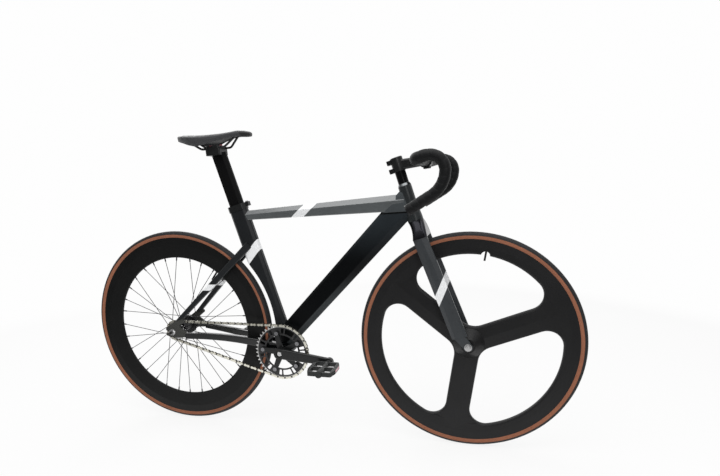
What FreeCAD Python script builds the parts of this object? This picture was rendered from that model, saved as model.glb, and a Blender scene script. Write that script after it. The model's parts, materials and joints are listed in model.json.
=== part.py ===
import FreeCAD, Part
import math
import os

V = FreeCAD.Vector
ASIDE = V(0, 1, 0)

# Stance of the whole bicycle, in millimetres and degrees
wheelbase = 980.0
tyre_radius = 336.0
tyre_width = 25.0
bb_drop = 54.0
head_angle = 72.5
seat_angle = 72.8
fork_rake = 41.5
crown_race_height = 400.0
head_tube_length = 107.0
seat_tube_length = 478.0

# Gaps shared by every fit, and the overrun of every cut
running_gap = 0.05
sliding_gap = 0.1
loose_gap = 0.4
cut_overrun = 6.0
half_space = 2500.0

# Chain drive
chain_pitch = 12.7
chain_links = 92
chainring_teeth = 44
cog_teeth = 16
chain_line = 44.0
roller_radius = 3.88
roller_seat_gap = 0.17
pin_radius = 1.8
chain_inner_width = 3.3
chain_plate = 1.0
chain_plate_gap = 0.15
inner_plate_end_radius = 4.2
outer_plate_end_radius = 4.0
plate_waist = 2.9
pin_proud = 0.3
sprocket_thickness = 2.9
tooth_height = 3.1
tooth_tip_half = 0.8
seat_arc_half_angle = 60.0
pin_search_share = 1.5

# Rear rim, spokes and hub
rim_bead_half = 9.5
rim_wide_half = 10.5
rim_wide_drop = 24.0
rim_depth = 70.0
rim_nose_radius = 4.6
rim_wall = 1.4
rim_bed = 2.6
tyre_wall = 2.6
tube_wall = 1.2
valve_radius = 3.0
valve_gap = 0.15
rear_valve_angle = 53.5
rear_valve_reach = 32.0
spoke_count_side = 16
spoke_cross_angle = 67.5
spoke_start_angle = 6.0
spoke_radius = 1.0
spoke_hole_gap = 0.15
spoke_bend_gap = 1.6
spoke_head_radius = 2.1
spoke_head_height = 1.3
spoke_rim_lead_half = 2.4
spoke_rim_trail_half = 0.8
nipple_radius = 2.1
nipple_length = 14.0
nipple_inside = 4.0
hub_flange_half = 32.0
hub_flange_thickness = 3.2
hub_flange_radius = 32.0
spoke_circle_radius = 27.5
hub_barrel_radius = 16.0
hub_end_radius = 14.0
rear_over_locknut = 120.0
rear_locknut_length = 7.0
rear_axle_radius = 5.0
rear_axle_proud = 4.0
axle_tip_step = 0.5
locknut_radius_gain = 4.0
cog_boss_radius = 17.0
cog_shoulder_radius = 20.0
lockring_radius = 21.0
lockring_length = 4.0
lockring_notches = 4
lockring_notch_half = 2.0
lockring_notch_depth = 2.0
hub_bearing_wall = 7.0
hub_bearing_length = 8.0
hub_axle_gap = 1.2

# Axle nuts
nut_across_flats = 15.0
nut_height = 8.0
washer_radius = 11.0
washer_height = 1.6

# Three-spoke front wheel
front_spoke_angle = 21.5
front_spokes = 3
front_spoke_half = 37.0
front_rim_depth = 46.0
front_rim_fillet = 45.0
front_hub_fillet = 55.0
front_rim_inner_half = 9.2
front_ridge_hub_half = 17.0
front_ridge_rim_half = 10.2
front_roof_half = 95.0
front_roof_edge_half = 6.0
front_roof_reach = 292.0
front_edge_half = 9.6
front_edge_round = 6.5
edge_height_shares = (0.0, 0.55, 0.85, 1.0)
edge_growth_shares = (0.0, 0.16, 0.47, 1.0)
front_hub_radius = 21.0
front_hub_shoulder = 15.0
front_hub_flare = 47.0
front_over_locknut = 100.0
front_locknut_length = 5.0
front_axle_radius = 4.5
front_axle_proud = 3.0
front_valve_angle = 80.6
front_valve_reach = 16.0
front_valve_recess = 13.0
front_wheel_wall = 2.6

# Head tube, headset and steerer
steerer_radius = 14.3
head_top_radius = 20.0
head_bottom_radius = 23.5
head_lip = 8.0
head_taper_height = 52.0
head_bore_radius = 16.5
bearing_top_radius = 17.6
bearing_bottom_radius = 20.0
bearing_height = 7.0
cover_height = 7.0
cover_top_radius = 17.0
spacer_radius = 16.0
spacer_height = 12.5
spacer_count = 3
steerer_below_cap = 3.0
cap_height = 3.5
cap_bolt_radius = 4.0
cap_bolt_length = 16.0

# Fork crown and blades
crown_height = 52.0
crown_half_width = 54.0
crown_back = 19.0
crown_front = 25.0
crown_shoulder_share = 0.45
crown_shoulder_width_share = 0.80
crown_shoulder_back = 16.0
crown_shoulder_front = 25.5
crown_shoulder_corner = 16.0
crown_low_corner = 7.0
steerer_bore_radius = 11.5
blade_top_aside = 45.0
blade_top_ahead = 3.0
blade_top_chord = 43.0
blade_top_thick = 17.0
blade_low_height = 34.0
blade_low_ahead = 26.5
blade_low_chord = 46.0
blade_low_thick = 9.0
blade_nose_share = 0.62
blade_tail_share = 0.36
fork_end_thick = 7.0
fork_end_radius = 14.0
fork_slot_gap = 0.1

# Stem and its bolts
stem_height = 38.5
stem_clamp_radius = 18.8
stem_reach = 80.8
stem_drop = 14.75
stem_root_half_height = 15.5
stem_root_half_width = 13.0
stem_tip_half_height = 14.0
stem_tip_half_width = 17.0
stem_tip_back = 14.0
stem_corner = 7.0
stem_ear_back = 29.0
stem_ear_half_width = 12.0
stem_lug_height = 13.0
stem_slit_half = 0.8
bar_clamp_radius = 15.9
bar_clamp_wall = 4.6
bar_clamp_half = 21.0
faceplate_gap_half = 1.0
faceplate_ear = 6.0
faceplate_ear_thick = 6.0
faceplate_ear_half = 8.0
faceplate_bolt_aside = 13.0
faceplate_bolt_out = 4.0
head_clearance = 0.25
small_bolt_radius = 2.0
small_head_radius = 3.6
small_head_height = 4.0
small_socket_radius = 2.2
small_socket_depth = 2.6

# Drop handlebar, tape and plugs
bar_radius = 12.0
bar_bore_radius = 10.0
bar_half_width = 186.0
bar_bulge_half = 46.0
bar_taper_length = 26.0
bar_corner_radius = 20.0
bar_reach = 71.0
bar_ramp_angle = 20.0
bar_front_radius = 38.5
bar_drop_radius = 75.0
bar_end_slope = 32.0
bar_end_length = 70.0
tape_wall = 3.2
tape_start = 74.0
plug_cap_height = 4.0
plug_stub_length = 14.0

# Frame tubes
frame_wall = 2.2
top_tube_drop = 2.0
top_tube_head_drop = 23.2
top_tube_seat_height = 29.0
top_tube_head_height = 50.0
top_tube_seat_halves = (6.0, 13.6, 11.5)
top_tube_head_halves = (8.0, 19.0, 15.5)
top_tube_seat_facet = 13.0
top_tube_head_facet = 17.0
top_tube_corner = 3.0
down_tube_angle = 47.0
down_tube_lift = 25.4
down_tube_bb_depth = 66.0
down_tube_head_depth = 78.0
down_tube_halves = (9.5, 17.5, 19.0, 8.0)
down_tube_upper_facet = 9.0
down_tube_lower_facet = 19.0
down_tube_corner = 4.0
seat_tube_front = 31.0
seat_tube_back = 29.5
seat_tube_half = 15.0
seat_tube_nose_half = 8.0
seat_tube_nose = 11.0
seat_tube_tail_half = 6.5
seat_tube_tail = 9.0
seat_tube_corner = 5.0
seat_tube_foot = 20.0
seat_tube_tyre_gap = 21.0
seat_socket_depth = 140.0
seat_cavity_back = 8.0
seat_cavity_front = 25.0
seat_cavity_half = 9.5
seat_cavity_roof = 12.0
bb_shell_radius = 24.0
bb_shell_half = 34.0

# Stays and track ends
stay_tyre_gap = 4.5
chainstay_bb_ahead = 12.0
chainstay_bb_rise = 6.0
chainstay_bb_aside = 24.0
chainstay_bb_depth = 30.0
chainstay_bb_width = 19.0
chainstay_knee_back = 112.0
chainstay_knee_rise = 24.0
chainstay_knee_depth = 26.0
chainstay_knee_width = 18.0
chainstay_end_ahead = 50.0
chainstay_end_rise = -11.0
chainstay_end_depth = 20.0
chainstay_end_width = 12.0
stay_corner = 4.0
stay_end_corner = 2.0
seatstay_top_drop = 114.0
seatstay_top_aside = 11.0
seatstay_top_depth = 25.0
seatstay_end_ahead = 21.5
seatstay_end_rise = 36.0
seatstay_end_depth = 14.0
seatstay_width = 12.0
track_end_thick = 6.0
track_slot_gap = 0.15
track_slot_front = 9.0
track_end_back = 24.0
track_lip = 13.0
track_heel = 16.0
track_heel_rise = 41.0
track_shoulder = 47.0
track_shoulder_rise = 48.0
track_brow = 48.0
track_brow_rise = 39.0
track_waist = 24.0
track_waist_rise = 20.0
track_end_front = 60.0
track_front_drop = 6.0
track_toe = 54.0
track_toe_drop = 16.0
track_belly = 6.0
track_end_foot = 19.0
track_corner = 4.0

# Seat clamp, seatpost and saddle clamp
collar_height = 19.0
collar_wall = 2.4
binder_reach = 13.0
binder_half = 8.0
binder_height = 14.0
binder_bolt_radius = 3.0
binder_head_radius = 5.0
binder_head_height = 3.0
post_front = 25.0
post_back = 25.0
post_half = 10.0
post_nose = 12.0
post_nose_half = 5.0
post_tail = 16.0
post_tail_half = 4.0
post_corner = 3.0
post_bore_front = 20.0
post_bore_back = 14.0
post_bore_half = 7.2
post_bore_corner = 5.0
post_insert = 105.0
post_top_height = 668.0
cradle_length = 50.0
cradle_back = 7.0
cradle_height = 22.0
cradle_half_width = 28.0
cradle_corner = 5.0
clamp_plate_height = 7.0
clamp_plate_length = 46.0
clamp_bolt_radius = 2.5
clamp_bolt_spread = 18.0
clamp_head_radius = 4.4
clamp_head_height = 4.0
rail_radius = 3.5
rail_aside = 22.0
rail_slope = 4.0
rail_lift = 18.0
rail_straight_back = 46.0
rail_straight_front = 34.0
rail_bend_radius = 20.0
rail_rear_run = 46.0
rail_rear_rise = 28.2
rail_rear_aside = 27.0
rail_nose_run = 35.0
rail_nose_rise = 34.0
rail_nose_aside = 9.0

# Saddle, given by stations from tail to nose
saddle_length = 248.0
saddle_half_width = 68.0
saddle_tail_back = 131.0
saddle_top_lift = 59.0
saddle_station_shares = (0.0, 0.06, 0.20, 0.34, 0.50, 0.66, 0.84, 0.96, 1.0)
saddle_width_shares = (0.45, 0.72, 0.97, 1.0, 0.66, 0.42, 0.30, 0.24, 0.18)
saddle_crowns = (0.0, 1.0, 0.5, -0.5, 2.0, 8.0, 11.5, 10.0, 7.0)
saddle_shoulders = (2.0, 5.0, 9.0, 11.0, 9.0, 6.0, 4.0, 3.0, 2.0)
saddle_skirts = (9.0, 17.0, 29.0, 35.0, 33.0, 27.0, 21.0, 17.0, 13.0)
saddle_tuck_share = 0.90
shell_inset_share = 0.86
saddle_padding = 11.0
shell_thick = 3.5
shell_station_first = 1
shell_station_last = 7

# Cranks, chainring and bottom bracket
crank_length = 167.5
crank_angle = -5.5
crank_boss_radius = 19.0
crank_boss_out = 68.0
crank_arm_in = 53.0
crank_eye_in = 57.0
crank_eye_out = 70.0
crank_root_half = 17.5
crank_tip_half = 12.0
crank_eye_radius = 13.5
crank_corner = 4.0
spider_thick = 5.0
spider_arms = 5
spider_root_half = 11.0
spider_tip_half = 7.0
spider_ear_radius = 8.5
bolt_circle_radius = 65.0
ring_inner_radius = 57.0
ring_band = 5.0
ring_outer_band = 9.0
ring_window_half_angle = 12.0
ring_slot_near_angle = 15.5
ring_slot_far_angle = 23.0
ring_window_corner = 2.4
ring_bolt_radius = 5.0
ring_bolt_head = 6.6
ring_bolt_head_height = 1.4
edge_upright_share = 0.9
spindle_radius = 8.5
spindle_square_in = 51.0
spindle_square_out = 66.0
spindle_root_half = 6.6
spindle_end_half = 6.0
bb_bearing_radius = 17.0
bb_bearing_length = 9.0
bb_cup_lip = 4.0
bb_cup_radius = 20.0
crank_bolt_radius = 4.0
crank_bolt_length = 14.0
crank_bolt_head = 7.0
crank_bolt_head_height = 3.5
crank_recess_radius = 10.5
crank_recess_depth = 5.0

# Pedals
pedal_thread_radius = 7.0
pedal_flange_radius = 9.0
pedal_flange_length = 5.0
pedal_spindle_radius = 4.5
pedal_in = 78.0
pedal_out = 168.0
pedal_neck_radius = 7.5
pedal_barrel_radius = 11.0
pedal_cap_radius = 9.5
pedal_neck_share = 0.5
pedal_barrel_share = 0.75
pedal_half_length = 43.0
pedal_end_half_length = 36.0
pedal_thick = 13.0
pedal_shoulder_shares = (0.2, 0.7)
pedal_rim = 7.0
pedal_rib = 6.0
pedal_corner = 6.0
pedal_window_corner = 3.0
pedal_cap_length = 5.0
pedal_bore_end = 6.0
reflector_length = 36.0
reflector_height = 8.6
reflector_thick = 4.0
pedal_groove_depth = 1.6
pedal_grooves = 5


# Directions and places in the side plane

def heading(angle):
    """Unit vector in the side plane, at an angle up from forward."""
    return V(math.cos(math.radians(angle)), 0, math.sin(math.radians(angle)))


def unit(vector):
    """Copy of a vector with a length of one."""
    return V(vector).normalize()


rear_axle_at = V(-wheelbase / 2, 0, tyre_radius)
front_axle_at = V(wheelbase / 2, 0, tyre_radius)
steer_up = heading(180 - head_angle)
steer_out = heading(90 - head_angle)
steer_foot = front_axle_at - steer_out * fork_rake
seat_up = heading(180 - seat_angle)
seat_out = heading(90 - seat_angle)


def steer_point(along, ahead=0.0, aside=0.0):
    """Point measured along, ahead of and beside the steering axis."""
    return steer_foot + steer_up * along + steer_out * ahead + ASIDE * aside


def spot(centre, radius, angle, aside=0.0):
    """Point on a circle round a sideways axis."""
    return centre + heading(angle) * radius + ASIDE * aside


# Shapes that the pieces share

def rounded_wire(points, radius, closed=True):
    """Wire through points with every corner replaced by a tangent arc."""
    count = len(points)
    edges = []
    first = None
    last = None
    for index, corner in enumerate(points):
        inner = closed or 0 < index < count - 1
        if inner and radius > 0:
            back = unit(points[index - 1] - corner)
            onward = unit(points[(index + 1) % count] - corner)
            half_turn = back.getAngle(onward) / 2
            reach = radius / math.tan(half_turn)
            start = corner + back * reach
            end = corner + onward * reach
            middle = corner + unit(back + onward) * (radius / math.sin(half_turn) - radius)
        else:
            start = corner
            end = corner
        if last is None:
            first = start
        else:
            edges.append(Part.LineSegment(last, start).toShape())
        if inner and radius > 0:
            edges.append(Part.Arc(start, middle, end).toShape())
        last = end
    if closed:
        edges.append(Part.LineSegment(last, first).toShape())
    return Part.Wire(edges)


def outline(centre, across, upward, pairs, radius):
    """Closed rounded wire from pairs measured across and up from a centre."""
    return rounded_wire([centre + across * a + upward * b for a, b in pairs], radius)


def both_sides(pairs):
    """Right-hand half outline, listed top to bottom, joined to its mirror image."""
    return pairs + [(-a, b) for a, b in reversed(pairs)]


def prism(wire, travel):
    """Solid swept straight from a flat closed wire."""
    return Part.Face(wire).extrude(travel)


def loft(wires, ruled=True):
    """Solid through a row of closed wires."""
    return Part.makeLoft(wires, True, ruled)


def rod(start, end, radius):
    """Cylinder from one point to another."""
    run = end - start
    return Part.makeCylinder(radius, run.Length, start, run)


def lathe(profile, base, axis):
    """Solid of revolution from radius and height pairs, set on a base along an axis."""
    points = [V(radius, 0, height) for radius, height in profile]
    wire = Part.makePolygon(points + points[:1])
    return placed(Part.Face(wire).revolve(V(), V(0, 0, 1), 360), base, axis)


def placed(shape, base, axis):
    """Shape made on the upright axis at the origin, moved to a base and an axis."""
    shape.Placement = FreeCAD.Placement(base, FreeCAD.Rotation(V(0, 0, 1), axis))
    return shape


def tube_ring(inner, outer, low, high, base, axis):
    """Ring with a bore, between two heights along an axis."""
    return lathe([(inner, low), (outer, low), (outer, high), (inner, high)], base, axis)


def beyond(point, direction):
    """Block that covers all that lies past a point in one direction."""
    corner = V(-half_space / 2, -half_space / 2, 0)
    return placed(Part.makeBox(half_space, half_space, half_space, corner), point, direction)


def mirrored(shape):
    """Copy of a shape on the other side of the bicycle."""
    return shape.mirror(V(), ASIDE)


def pair(shape):
    """A right-hand shape and its left-hand partner."""
    return [shape, mirrored(shape)]


def join(shapes):
    """One solid from touching solids."""
    return shapes[0].multiFuse(shapes[1:]).removeSplitter()


def hexagon(across_flats, height, base, axis):
    """Hexagonal prism on an axis."""
    corner_radius = across_flats / (2 * math.cos(math.pi / 6))
    points = [V(corner_radius * math.cos(k * math.pi / 3), corner_radius * math.sin(k * math.pi / 3), 0)
              for k in range(6)]
    face = Part.Face(Part.makePolygon(points + points[:1]))
    return placed(face.extrude(V(0, 0, height)), base, axis)


def socket_bolt(head_at, axis, length, shank, head, head_height):
    """Bolt with a round head and a key socket, its head standing out along the axis."""
    body = rod(head_at - axis * length, head_at, shank)
    top = rod(head_at, head_at + axis * head_height, head)
    key_depth = min(small_socket_depth, head_height / 2)
    key_flats = min(small_socket_radius, head / 2) * 2
    key = hexagon(key_flats, key_depth + cut_overrun, head_at + axis * (head_height - key_depth), axis)
    return join([body, top]).cut(key)


# Chain line round the two sprockets

def pitch_radius(teeth):
    """Radius of the circle through the rollers of a sprocket."""
    return chain_pitch / (2 * math.sin(math.pi / teeth))


ring_radius = pitch_radius(chainring_teeth)
cog_radius = pitch_radius(cog_teeth)


def loop_sizes(span):
    """Lean of the straight runs, wrap length on each sprocket and run length."""
    lean = math.asin((ring_radius - cog_radius) / span)
    return lean, ring_radius * (math.pi / 2 + lean), span * math.cos(lean), cog_radius * (math.pi - 2 * lean)


def loop_point(span, travel):
    """Point on the chain's pitch line, with the cog at zero and the chainring ahead of it."""
    lean, ring_wrap, run, cog_wrap = loop_sizes(span)
    top = math.pi / 2 + lean
    foot = 3 * math.pi / 2 - lean
    if travel < ring_wrap:
        turn = travel / ring_radius
        return span + ring_radius * math.cos(turn), ring_radius * math.sin(turn)
    travel -= ring_wrap
    if travel < run:
        return (span + ring_radius * math.cos(top) - travel * math.sin(top),
                ring_radius * math.sin(top) + travel * math.cos(top))
    travel -= run
    if travel < cog_wrap:
        turn = top + travel / cog_radius
        return cog_radius * math.cos(turn), cog_radius * math.sin(turn)
    travel -= cog_wrap
    if travel < run:
        return (cog_radius * math.cos(foot) - travel * math.sin(foot),
                cog_radius * math.sin(foot) + travel * math.cos(foot))
    turn = foot + (travel - run) / ring_radius
    return span + ring_radius * math.cos(turn), ring_radius * math.sin(turn)


def bisect(low, high, test):
    """Value between two limits at which a rising test turns true."""
    for _ in range(48):
        middle = (low + high) / 2
        if test(middle):
            high = middle
        else:
            low = middle
    return (low + high) / 2


def next_pin(span, travel):
    """Travel of the pin one chain pitch further round."""
    here = loop_point(span, travel)

    def reached(guess):
        there = loop_point(span, guess)
        return math.hypot(there[0] - here[0], there[1] - here[1]) > chain_pitch

    return bisect(travel, travel + chain_pitch * pin_search_share, reached)


def pin_travels(span):
    """Travel of every pin of the chain, ending one full lap on."""
    travels = [0.0]
    for _ in range(chain_links):
        travels.append(next_pin(span, travels[-1]))
    return travels


def too_long(span):
    """Whether the loop is longer than the chain."""
    _, ring_wrap, run, cog_wrap = loop_sizes(span)
    return pin_travels(span)[-1] < 2 * ring_wrap + 2 * run + cog_wrap


slack_span = chain_pitch * chain_links / 2
chain_span = bisect(slack_span - math.pi * ring_radius, slack_span, too_long)
bb_at = rear_axle_at + V(math.sqrt(chain_span ** 2 - bb_drop ** 2), 0, -bb_drop)
chain_along = unit(bb_at - rear_axle_at)
chain_up = V(-chain_along.z, 0, chain_along.x)
drive_side = ASIDE * -chain_line
chain_tilt = math.degrees(math.atan2(chain_along.z, chain_along.x))


def seat_point(along, ahead=0.0, aside=0.0):
    """Point measured along, ahead of and beside the seat tube's axis."""
    return bb_at + seat_up * along + seat_out * ahead + ASIDE * aside


def chain_pins():
    """Places of the chain's pins, in order round the loop."""
    flat = [loop_point(chain_span, travel) for travel in pin_travels(chain_span)[:-1]]
    return [rear_axle_at + chain_along * a + chain_up * b + drive_side for a, b in flat]


def sprocket_wire(centre, teeth, phase):
    """Toothed outline whose roller seats start at a phase angle."""
    step = 360.0 / teeth
    seat_radius = roller_radius + roller_seat_gap
    rolling = pitch_radius(teeth)
    tip_radius = rolling + tooth_height
    tip_turn = math.degrees(tooth_tip_half / tip_radius)
    edges = []
    tip_end = None
    first = None
    for k in range(teeth):
        turn = phase + k * step
        seat = spot(centre, rolling, turn)
        entry = spot(seat, seat_radius, turn + 180 + seat_arc_half_angle)
        bottom = spot(seat, seat_radius, turn + 180)
        leave = spot(seat, seat_radius, turn + 180 - seat_arc_half_angle)
        if tip_end is None:
            first = entry
        else:
            edges.append(Part.LineSegment(tip_end, entry).toShape())
        edges.append(Part.Arc(entry, bottom, leave).toShape())
        tip_start = spot(centre, tip_radius, turn + step / 2 - tip_turn)
        tip_end = spot(centre, tip_radius, turn + step / 2 + tip_turn)
        edges.append(Part.LineSegment(leave, tip_start).toShape())
        edges.append(Part.LineSegment(tip_start, tip_end).toShape())
    edges.append(Part.LineSegment(tip_end, first).toShape())
    return Part.Wire(edges)


def sprocket(centre, teeth, phase):
    """Flat toothed disc on the chain line."""
    face_at = centre + drive_side - ASIDE * (sprocket_thickness / 2)
    return prism(sprocket_wire(face_at, teeth, phase), ASIDE * sprocket_thickness)


def link_plate(end_radius, low, high):
    """Waisted chain plate over two pins, one pitch apart along X."""
    rise = math.sin(math.pi / 3) * end_radius
    inset = math.cos(math.pi / 3) * end_radius
    level = ASIDE * low
    corners = [V(inset, 0, rise), V(inset, 0, -rise), V(chain_pitch - inset, 0, -rise),
               V(chain_pitch - inset, 0, rise)]
    corners = [corner + level for corner in corners]
    middles = [V(-end_radius, 0, 0), V(chain_pitch / 2, 0, -plate_waist), V(chain_pitch + end_radius, 0, 0),
               V(chain_pitch / 2, 0, plate_waist)]
    edges = [Part.Arc(corners[k], middles[k] + level, corners[(k + 1) % 4]).toShape() for k in range(4)]
    return prism(Part.Wire(edges), ASIDE * (high - low))


def chain_link(inner):
    """One inner link with its rollers, or one outer link with its pins, lying along X."""
    start = chain_inner_width / 2
    reach = start + chain_plate
    radius = inner_plate_end_radius
    core = roller_radius
    span = start
    if not inner:
        start = reach + chain_plate_gap
        reach = start + chain_plate
        radius = outer_plate_end_radius
        core = pin_radius
        span = reach + pin_proud
    plates = [link_plate(radius, start, reach), link_plate(radius, -reach, -start)]
    pins = [rod(V(x, -span, 0), V(x, span, 0), core) for x in (0, chain_pitch)]
    link = join(plates + pins)
    if inner:
        bore = pin_radius + running_gap
        for x in (0, chain_pitch):
            link = link.cut(rod(V(x, -reach - cut_overrun, 0), V(x, reach + cut_overrun, 0), bore))
    return link


def chain_half(inner):
    """All inner or all outer links, placed round the loop."""
    pins = chain_pins()
    master = chain_link(inner)
    links = []
    for k in range(0 if inner else 1, chain_links, 2):
        link = master.copy()
        run = pins[(k + 1) % chain_links] - pins[k]
        link.Placement = FreeCAD.Placement(pins[k], FreeCAD.Rotation(ASIDE, -math.degrees(math.atan2(run.z, run.x))))
        links.append(link)
    return links


# Tyres, inner tubes and the rear wheel

tyre_centre_radius = tyre_radius - tyre_width / 2
rim_radius = tyre_centre_radius - math.sqrt((tyre_width / 2) ** 2 - rim_bead_half ** 2)
rim_inner_radius = rim_radius - rim_depth


def spun(edges, centre):
    """Solid of revolution about a wheel's axle, from edges in the plane of radius and width."""
    face = Part.Face(Part.Wire(edges))
    return placed(face.revolve(V(), V(0, 0, 1), 360), centre, ASIDE)


def tyre(centre):
    """Open casing whose two beads stand on the rim bed."""
    inner = tyre_width / 2 - tyre_wall
    inner_half = math.sqrt(inner ** 2 - (tyre_centre_radius - rim_radius) ** 2)
    outside = Part.Arc(V(rim_radius, 0, -rim_bead_half), V(tyre_radius, 0, 0), V(rim_radius, 0, rim_bead_half))
    inside = Part.Arc(V(rim_radius, 0, inner_half), V(tyre_radius - tyre_wall, 0, 0), V(rim_radius, 0, -inner_half))
    right = Part.LineSegment(V(rim_radius, 0, rim_bead_half), V(rim_radius, 0, inner_half))
    left = Part.LineSegment(V(rim_radius, 0, -inner_half), V(rim_radius, 0, -rim_bead_half))
    return spun([outside.toShape(), right.toShape(), inside.toShape(), left.toShape()], centre)


tube_top = tyre_radius - tyre_wall - loose_gap / 2
tube_radius = (tube_top - rim_radius) / 2
tube_centre_radius = (tube_top + rim_radius) / 2


def inner_tube(centre, valve_angle, valve_end_radius):
    """Hollow ring inside the tyre, with its valve standing in towards the hub."""
    upright = FreeCAD.Rotation(V(0, 0, 1), ASIDE)
    ring = Part.makeTorus(tube_centre_radius, tube_radius)
    ring.Placement = FreeCAD.Placement(centre, upright)
    hollow = Part.makeTorus(tube_centre_radius, tube_radius - tube_wall)
    hollow.Placement = FreeCAD.Placement(centre, upright)
    stem = rod(spot(centre, tube_centre_radius - tube_radius / 2, valve_angle),
               spot(centre, valve_end_radius, valve_angle), valve_radius)
    return join([ring, stem]).cut(hollow)


def valve_hole(centre, valve_angle):
    """Cut for a valve through the whole rim."""
    low = spot(centre, rim_inner_radius - cut_overrun, valve_angle)
    return rod(low, spot(centre, tube_centre_radius, valve_angle), valve_radius + valve_gap)


def rim_profile(inset, bed):
    """Deep rim section, or its hollow when inset by the wall."""
    top = rim_radius - bed
    wide = rim_radius - rim_wide_drop
    nose = rim_nose_radius - inset
    nose_centre = rim_inner_radius + rim_nose_radius
    bead = rim_bead_half - inset
    belly = rim_wide_half - inset
    lean = math.asin((belly - nose) / math.hypot(wide - nose_centre, belly - nose))
    touch_radius = nose_centre + nose * math.sin(lean)
    touch_half = nose * math.cos(lean)
    points = [V(touch_radius, 0, touch_half), V(wide, 0, belly), V(top, 0, bead), V(top, 0, -bead),
              V(wide, 0, -belly), V(touch_radius, 0, -touch_half)]
    edges = [Part.LineSegment(points[k], points[k + 1]).toShape() for k in range(5)]
    edges.append(Part.Arc(points[5], V(nose_centre - nose, 0, 0), points[0]).toShape())
    return edges


def spoke_places():
    """Hub angle, rim angle, side and lead of every spoke."""
    step = 360.0 / spoke_count_side
    places = []
    for side in (-1, 1):
        offset = spoke_start_angle + side * step / 4
        for k in range(spoke_count_side):
            leads = k % 2 == 0
            hub_turn = offset + k * step
            rim_turn = hub_turn + (spoke_cross_angle if leads else -spoke_cross_angle)
            places.append((hub_turn, rim_turn, side, leads))
    return places


def spoke_elbow_half(leads):
    """Distance from the middle of the flange to a spoke's elbow."""
    return hub_flange_thickness / 2 + spoke_radius + spoke_hole_gap + (spoke_bend_gap if leads else 0)


def spoke_line(hub_turn, rim_turn, side, leads):
    """Elbow and far end of one spoke."""
    half = spoke_elbow_half(leads)
    elbow_aside = hub_flange_half + (half if leads else -half)
    rim_aside = spoke_rim_lead_half if leads else spoke_rim_trail_half
    elbow = spot(rear_axle_at, spoke_circle_radius, hub_turn, side * elbow_aside)
    end = spot(rear_axle_at, rim_inner_radius, rim_turn, side * rim_aside)
    return elbow, end


def spoke(hub_turn, rim_turn, side, leads):
    """Spoke with its elbow, head and nipple."""
    elbow, end = spoke_line(hub_turn, rim_turn, side, leads)
    inward = ASIDE * (-side if leads else side)
    through = spoke_elbow_half(leads) + hub_flange_thickness / 2 + spoke_hole_gap
    run = unit(end - elbow)
    head = elbow + inward * through
    pieces = [rod(elbow, head, spoke_radius), Part.makeSphere(spoke_radius, elbow),
              rod(head, head + inward * spoke_head_height, spoke_head_radius),
              rod(elbow, end, spoke_radius),
              rod(end - run * (nipple_length - nipple_inside), end + run * nipple_inside, nipple_radius)]
    return join(pieces)


def rear_spokes():
    """Every spoke of the rear wheel."""
    return [spoke(*place) for place in spoke_places()]


def rear_rim():
    """Hollow deep rim, drilled for its nipples and valve."""
    rim = spun(rim_profile(0, 0), rear_axle_at).cut(spun(rim_profile(rim_wall, rim_bed), rear_axle_at))
    holes = [valve_hole(rear_axle_at, rear_valve_angle)]
    for place in spoke_places():
        elbow, end = spoke_line(*place)
        run = unit(end - elbow)
        holes.append(rod(end - run * nipple_length, end + run * nipple_length, nipple_radius + spoke_hole_gap))
    return rim.cut(Part.makeCompound(holes))


rear_hub_half = rear_over_locknut / 2 - rear_locknut_length - loose_gap
cog_inner_face = chain_line - sprocket_thickness / 2
cog_outer_face = chain_line + sprocket_thickness / 2


def bearing_seat(half, axle_radius):
    """Radius and depth of a hub's bearing seat."""
    return axle_radius + hub_bearing_wall, half - hub_bearing_length


def hub_bore(centre, half, axle_radius):
    """Cut for the axle and the two bearings of a hub."""
    seat, depth = bearing_seat(half, axle_radius)
    through = axle_radius + hub_axle_gap
    far = half + cut_overrun
    profile = [(0, -far), (seat, -far), (seat, -depth), (through, -depth), (through, depth), (seat, depth),
               (seat, far), (0, far)]
    return lathe(profile, centre, ASIDE)


def hub_bearings(centre, half, axle_radius):
    """Two bearings that sit flush in a hub's ends."""
    seat, depth = bearing_seat(half, axle_radius)
    bore = axle_radius + running_gap
    return [tube_ring(bore, seat, -half, -depth, centre, ASIDE), tube_ring(bore, seat, depth, half, centre, ASIDE)]


def rear_hub():
    """High-flange hub with a threaded boss for the cog on the drive side."""
    inner = hub_flange_half - hub_flange_thickness / 2
    outer = hub_flange_half + hub_flange_thickness / 2
    profile = [(0, -rear_hub_half), (cog_boss_radius, -rear_hub_half), (cog_boss_radius, -cog_inner_face),
               (cog_shoulder_radius, -cog_inner_face), (cog_shoulder_radius, -outer), (hub_flange_radius, -outer),
               (hub_flange_radius, -inner), (cog_shoulder_radius, -inner), (hub_barrel_radius, 0),
               (cog_shoulder_radius, inner), (hub_flange_radius, inner), (hub_flange_radius, outer),
               (cog_shoulder_radius, outer), (hub_end_radius, rear_hub_half), (0, rear_hub_half)]
    hub = lathe(profile, rear_axle_at, ASIDE).cut(hub_bore(rear_axle_at, rear_hub_half, rear_axle_radius))
    holes = []
    for hub_turn, rim_turn, side, leads in spoke_places():
        start = spot(rear_axle_at, spoke_circle_radius, hub_turn, side * (inner - spoke_hole_gap))
        end = spot(rear_axle_at, spoke_circle_radius, hub_turn, side * (outer + spoke_hole_gap))
        holes.append(rod(start, end, spoke_radius + spoke_hole_gap))
    return hub.cut(Part.makeCompound(holes))


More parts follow.
